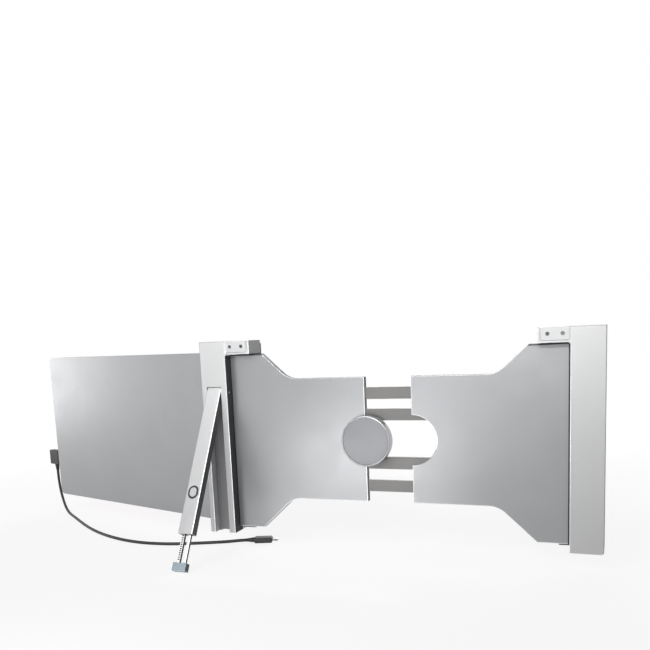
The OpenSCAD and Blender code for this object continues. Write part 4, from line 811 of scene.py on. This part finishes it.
back_silver = surface("satin monitor back", (0.36, 0.365, 0.375), 0.31, 0.8, fineness=3200,
                      turn=(0, 0, SWING), shade=0.03, gloss=0.05, depth=0.006,
                      rubbed=(0.74, 0.75, 0.76), rub=0.7)
frame_grey = surface("dark side frame", (0.115, 0.118, 0.128), 0.40, 0.7, fineness=2400,
                     length=(1, 1, 14), turn=(0, 0, SWING), shade=0.08,
                     rubbed=(0.30, 0.305, 0.32), rub=0.6)
bezel_light = surface("light bezel", (0.66, 0.67, 0.68), 0.40, 0.25, fineness=2800,
                      shade=0.02, depth=0.010, rubbed=(0.82, 0.83, 0.84), rub=0.8)
tray_bright = surface("bright panel tray", (0.62, 0.64, 0.67), 0.30, 1.0, fineness=1200,
                      shade=0.05)
board_green = surface("green solder mask", (0.015, 0.13, 0.06), 0.30, fineness=900,
                      shade=0.18, coat=0.3)
film_amber = surface("amber film", (0.50, 0.27, 0.07), 0.32, fineness=1500, shade=0.08)
socket_steel = surface("stamped socket steel", (0.52, 0.53, 0.55), 0.30, 1.0, fineness=1500)
socket_tongue = surface("black socket tongue", (0.02, 0.02, 0.021), 0.5, fineness=1500)
key_light = surface("light key", (0.64, 0.65, 0.66), 0.34, fineness=2200, shade=0.03,
                    rubbed=(0.8, 0.8, 0.8), rub=0.6)
pipe_clear = surface("frosted light pipe", (0.70, 0.74, 0.78), 0.25, fineness=1500)

for name, node, slot, material, radius in (
        ("monitor_back", "back_cover", "cover_silver", back_silver, 0.35),
        ("monitor_frame", "side_frame", "frame_dark", frame_grey, 0.25),
        ("monitor_bezel", "front_bezel", "bezel_light", bezel_light, 0.3),
        ("panel_backing", "panel_tray", "panel_tray", tray_bright, 0.15),
        ("control_board", "controller_board", "board_green", board_green, 0.1),
        ("ribbon_film", "panel_ribbon", "ribbon", film_amber, 0.05),
        ("status_light", "light_pipe", "light_pipe", pipe_clear, 0.15)):
    plain_piece(name, node, "monitor", material, radius, shortest=0.2)

SOCKET_Y = 6.6
SOCKET_FLOOR, SOCKET_MOUTH = 330.1, 335.9


def in_a_socket(face):
    """True on a socket's inner walls and tongue, behind its rim."""
    place = MONITOR.inverted() @ face.calc_center_median() / MM
    return abs(place.y - SOCKET_Y) < 0.6 and SOCKET_FLOOR < place.x < SOCKET_MOUTH


sockets = merged_copy("side_sockets")
paint_faces(sockets, 1, in_a_socket)
make_piece(sockets, "port_shells", "monitor", [socket_steel, socket_tongue],
           ["side_sockets"])

plain_piece("power_key", "power_button", "power_key", key_light, 0.3,
            segments=3)

# the lit picture: flowing silk, blue to violet, magenta and red, on deep indigo
PICTURE = (309.4, 174.0)
PICTURE_MIDDLE = (175.0, 1.9, 0.4)
UNLIT_EDGE = 1.3

display = bpy.data.materials.new("lit display")
display.use_nodes = True
tree = display.node_tree
shader = tree.nodes["Principled BSDF"]
shader.inputs["Base Color"].default_value = (0.012, 0.012, 0.014, 1)
shader.inputs["Specular IOR Level"].default_value = 0.14
shader.inputs["Emission Strength"].default_value = 0.9
place = add_node(tree, "ShaderNodeTexCoord")
flat = add_node(tree, "ShaderNodeMapping",
                {"Location": MONITOR @ (Vector(PICTURE_MIDDLE) * MM), "Rotation": (0, 0, SWING)},
                vector_type="TEXTURE")
tree.links.new(place.outputs["Object"], flat.inputs["Vector"])
sway = add_node(tree, "ShaderNodeTexNoise", {"Scale": 5.2, "Detail": 0.6})
tree.links.new(flat.outputs["Vector"], sway.inputs["Vector"])
lean = add_node(tree, "ShaderNodeVectorMath", {1: (0.26, 0.0, 0.26)}, operation="MULTIPLY_ADD")
tree.links.new(sway.outputs["Color"], lean.inputs[0])
tree.links.new(flat.outputs["Vector"], lean.inputs[2])
across_silk = add_node(tree, "ShaderNodeVectorMath", {1: (2.1, 0.0, 3.9)},
                       operation="DOT_PRODUCT")
tree.links.new(lean.outputs["Vector"], across_silk.inputs[0])
silk = across_silk.outputs["Value"]


def strands(scale, detail):
    """Streaks that run along the silk."""
    noise = add_node(tree, "ShaderNodeTexNoise", {"Scale": scale, "Detail": detail},
                     noise_dimensions="1D")
    tree.links.new(silk, noise.inputs["W"])
    return noise.outputs["Fac"]


hue = add_node(tree, "ShaderNodeValToRGB")
ramp = hue.color_ramp
ramp.interpolation = "B_SPLINE"
ramp.elements[0].position, ramp.elements[0].color = 0.0, (0.006, 0.002, 0.05, 1)
ramp.elements[1].position, ramp.elements[1].color = 1.0, (0.008, 0.004, 0.09, 1)
for position, colour in ((0.16, (0.03, 0.004, 0.24)), (0.27, (0.01, 0.05, 0.85)),
                         (0.37, (0.20, 0.01, 0.62)), (0.47, (0.62, 0.01, 0.42)),
                         (0.56, (0.85, 0.01, 0.05)), (0.63, (0.98, 0.17, 0.12)),
                         (0.70, (0.70, 0.01, 0.28)), (0.80, (0.14, 0.01, 0.55)),
                         (0.90, (0.01, 0.02, 0.45))):
    ramp.elements.new(position).color = (*colour, 1)
tree.links.new(value_range(tree, silk, 0.0, 1.0, 0.18, 1.38), hue.inputs["Fac"])
fine, broad = strands(34, 3), strands(9, 1)
shine = value_range(tree, fine, 0.0, 0.55, 0.54, 0.74)
depths = value_range(tree, broad, 0.85, 0.0, 0.34, 0.52)
lit = mix_colour(tree, shine, hue.outputs["Color"], (0.92, 0.45, 0.90))
picture = mix_colour(tree, depths, lit, (0.008, 0.002, 0.06))
split = add_node(tree, "ShaderNodeSeparateXYZ")
tree.links.new(flat.outputs["Vector"], split.inputs["Vector"])
border = None
for axis, size in (("X", PICTURE[0]), ("Z", PICTURE[1])):
    across = add_node(tree, "ShaderNodeMath", operation="ABSOLUTE")
    tree.links.new(split.outputs[axis], across.inputs[0])
    edge = add_node(tree, "ShaderNodeMath", {1: (size / 2 - UNLIT_EDGE) * MM},
                    operation="GREATER_THAN")
    tree.links.new(across.outputs[0], edge.inputs[0])
    border = edge.outputs[0] if border is None else summed(tree, border, edge.outputs[0])
unlit = add_node(tree, "ShaderNodeClamp")
tree.links.new(border, unlit.inputs["Value"])
shown = mix_colour(tree, unlit.outputs["Result"], picture, (0.0, 0.0, 0.0))
tree.links.new(shown, shader.inputs["Emission Color"])
glass_grain = place_group(tree, GRAIN, Fineness=1800)
tree.links.new(value_range(tree, glass_grain.outputs["Drift"], 0.24, 0.34, 0.3, 0.7),
               shader.inputs["Roughness"])

plain_piece("lit_panel", "display_panel", "monitor", display, 0.2)

# ---- Kickstand ----
# A U-shaped aluminium arm that folds into the monitor's post, with a black inner cover; its
# flanks are painted dark as painted shade. Two steel rods slide out of its end on a small
# blue-grey foot, and an oval button in the arm's back lets them go. The rods' sides and ladder
# holes and the foot's sides are painted dark as painted shade too.

STAND_PIVOT = Vector((169.3, 15.2, 51.7)) * MM
STAND_ANGLE = radians(29)
from_stand = (Matrix.Translation(STAND_PIVOT) @ Matrix.Rotation(STAND_ANGLE, 4, "X")).inverted()

arm_silver = surface("kickstand silver", (0.62, 0.623, 0.63), 0.40, 0.12, fineness=3000,
                     turn=(STAND_ANGLE, 0, 0), shade=0.02, depth=0.010,
                     rubbed=(0.90, 0.905, 0.91), rub=0.95)
# painted shade: the arm's flanks are painted dark
painted_shade_arm_flank = surface("painted shade kickstand flank", (0.040, 0.041, 0.044), 0.48, fineness=2200,
                    shade=0.12)
rod_steel = surface("brushed leg steel", (0.60, 0.605, 0.61), 0.32, 0.9, fineness=2200,
                    length=(1, 1, 18), turn=(STAND_ANGLE, 0, 0), shade=0.06,
                    rubbed=(0.80, 0.81, 0.82), rub=0.7)
# the pivot pin's own blackened steel, and painted shade on the rods' sides and ladder holes
blackened_steel_and_painted_shade = surface("blackened steel and painted shade", (0.045, 0.046, 0.05), 0.45, 0.4, fineness=2200,
                    shade=0.12)
foot_blue = surface("blue-grey foot", (0.30, 0.37, 0.42), 0.46, fineness=1900, shade=0.05,
                    depth=0.03, rubbed=(0.45, 0.52, 0.56), rub=0.7)
# painted shade: the sides of the foot and its sole are painted dark
painted_shade_foot_side = surface("painted shade foot side", (0.045, 0.055, 0.065), 0.50, fineness=1900, shade=0.1)
sole_blue = surface("foot sole rubber", (0.42, 0.48, 0.52), 0.62, fineness=1300, shade=0.10,
                    depth=0.05)
button_white = surface("light release button", (0.68, 0.69, 0.70), 0.30, fineness=2200,
                       shade=0.02, rubbed=(0.86, 0.86, 0.86), rub=0.6)
rim_black = surface("black button rim", (0.018, 0.018, 0.02), 0.36, fineness=2000, shade=0.12)


def stand_mid(face):
    """The middle of a face along and across the stand, in mm from its pivot."""
    return from_stand @ face.calc_center_median() / MM


def stand_normal(face):
    """Which way a face looks in the stand's own directions; y is the stand's back."""
    return from_stand.to_3x3() @ face.normal


def blacken_flanks(mesh, side_x):
    """Gives the flat sides at a distance from the stand's middle the second material, which is
    painted shade.
    """
    paint_faces(mesh, 1, lambda f: abs(stand_normal(f).x) > 0.95
                and abs(abs(stand_mid(f).x) - side_x) < 0.3)


def by_the_button(face):
    """True on the small chamfers round the release button's opening."""
    place = stand_mid(face)
    return abs(place.x) < 6 and place.z < -100 and face.calc_area() < 8 * MM ** 2


arm = merged_copy("kickstand_arm")
for face in chamfer_face(arm, 0.6 * MM, lambda f: stand_normal(f).y > 0.99
                         and stand_mid(f).y > 4.4):
    # painted shade round the button's opening and on chamfers facing x+, a painted highlight on
    # chamfers facing x-
    face.material_index = (1 if by_the_button(face) else 2 if face.normal.x < -0.3
                           else 3 if face.normal.x > 0.3 else 0)
# painted shade on both flanks
blacken_flanks(arm, 8.2)
make_piece(arm, "kickstand_channel", "kickstand",
           [arm_silver, painted_shade_arm_flank, painted_edge_highlight, painted_shade_side], ["kickstand_arm"])

for name, node, slot, material, radius in (
        ("channel_cover", "kickstand_inner_cover", "black_cover", cover_black, 0.25),
        ("rod_guide", "leg_guide", "black_cover", cover_black, 0.25),
        ("button_ring", "button_rim", "black_cover", rim_black, 0.12)):
    plain_piece(name, node, "kickstand", material, radius)

plain_piece("pivot_pin", "kickstand_pin", "bracket", blackened_steel_and_painted_shade, 0.15)
plain_piece("pivot_washers", "kickstand_washers", "bracket", washer_white, 0.15)

ROD_SIDES = (1.9, 5.2)
FOOT_SIDE = 7.8

rods = merged_copy("leg_rods")
round_edges(rods, 0.3 * MM, 2, lambda e: e.calc_length() > 20 * MM)
# painted shade on the rods' flanks and on the walls of the ladder holes
for side_x in ROD_SIDES:
    blacken_flanks(rods, side_x)
paint_faces(rods, 1, lambda f: abs(stand_normal(f).y) < 0.3 and f.calc_area() < 12 * MM ** 2)
make_piece(rods, "ladder_rods", "leg", [rod_steel, blackened_steel_and_painted_shade], ["leg_rods"])

plain_piece("rod_bridge", "leg_bridge", "leg", rod_steel, 0.3)

for name, node, slot, material, radius, segments in (
        ("foot_block", "foot", "foot_blue", foot_blue, 0.7, 3),
        ("foot_pad", "foot_sole", "sole_rubber", sole_blue, 0.3, 2)):
    part = merged_copy(node)
    round_edges(part, radius * MM, segments)
    # painted shade on the sides of the foot and its sole
    blacken_flanks(part, FOOT_SIDE)
    make_piece(part, name, "leg", [material, painted_shade_foot_side], [node])

# The desk carries the foot: it sinks with the sole's lowest edge where the folded or longer leg
# reaches below the standing height, and never rises above that height.
SOLE_EDGE_Y = 107.03 * MM
sole_edge = bpy.data.objects.new("sole_edge", None)
sole_edge.location = (STAND_PIVOT.x, SOLE_EDGE_Y, DESK_Z)
bpy.context.scene.collection.objects.link(sole_edge)
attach(sole_edge, "leg")
sink = desk.constraints.new("COPY_LOCATION")
sink.target = sole_edge
sink.use_x = sink.use_y = False
highest = desk.constraints.new("LIMIT_LOCATION")
highest.use_max_z = True
highest.max_z = DESK_Z

button = merged_copy("leg_button")
round_edges(button, 0.7 * MM, 3, lambda e: all((from_stand @ v.co).y > 4.5 * MM
                                               for v in e.verts))
make_piece(button, "release_button", "leg_release", [button_white],
           ["leg_button"])

plain_piece("latch_pawl", "button_latch", "leg_release", cover_black, 0.2)
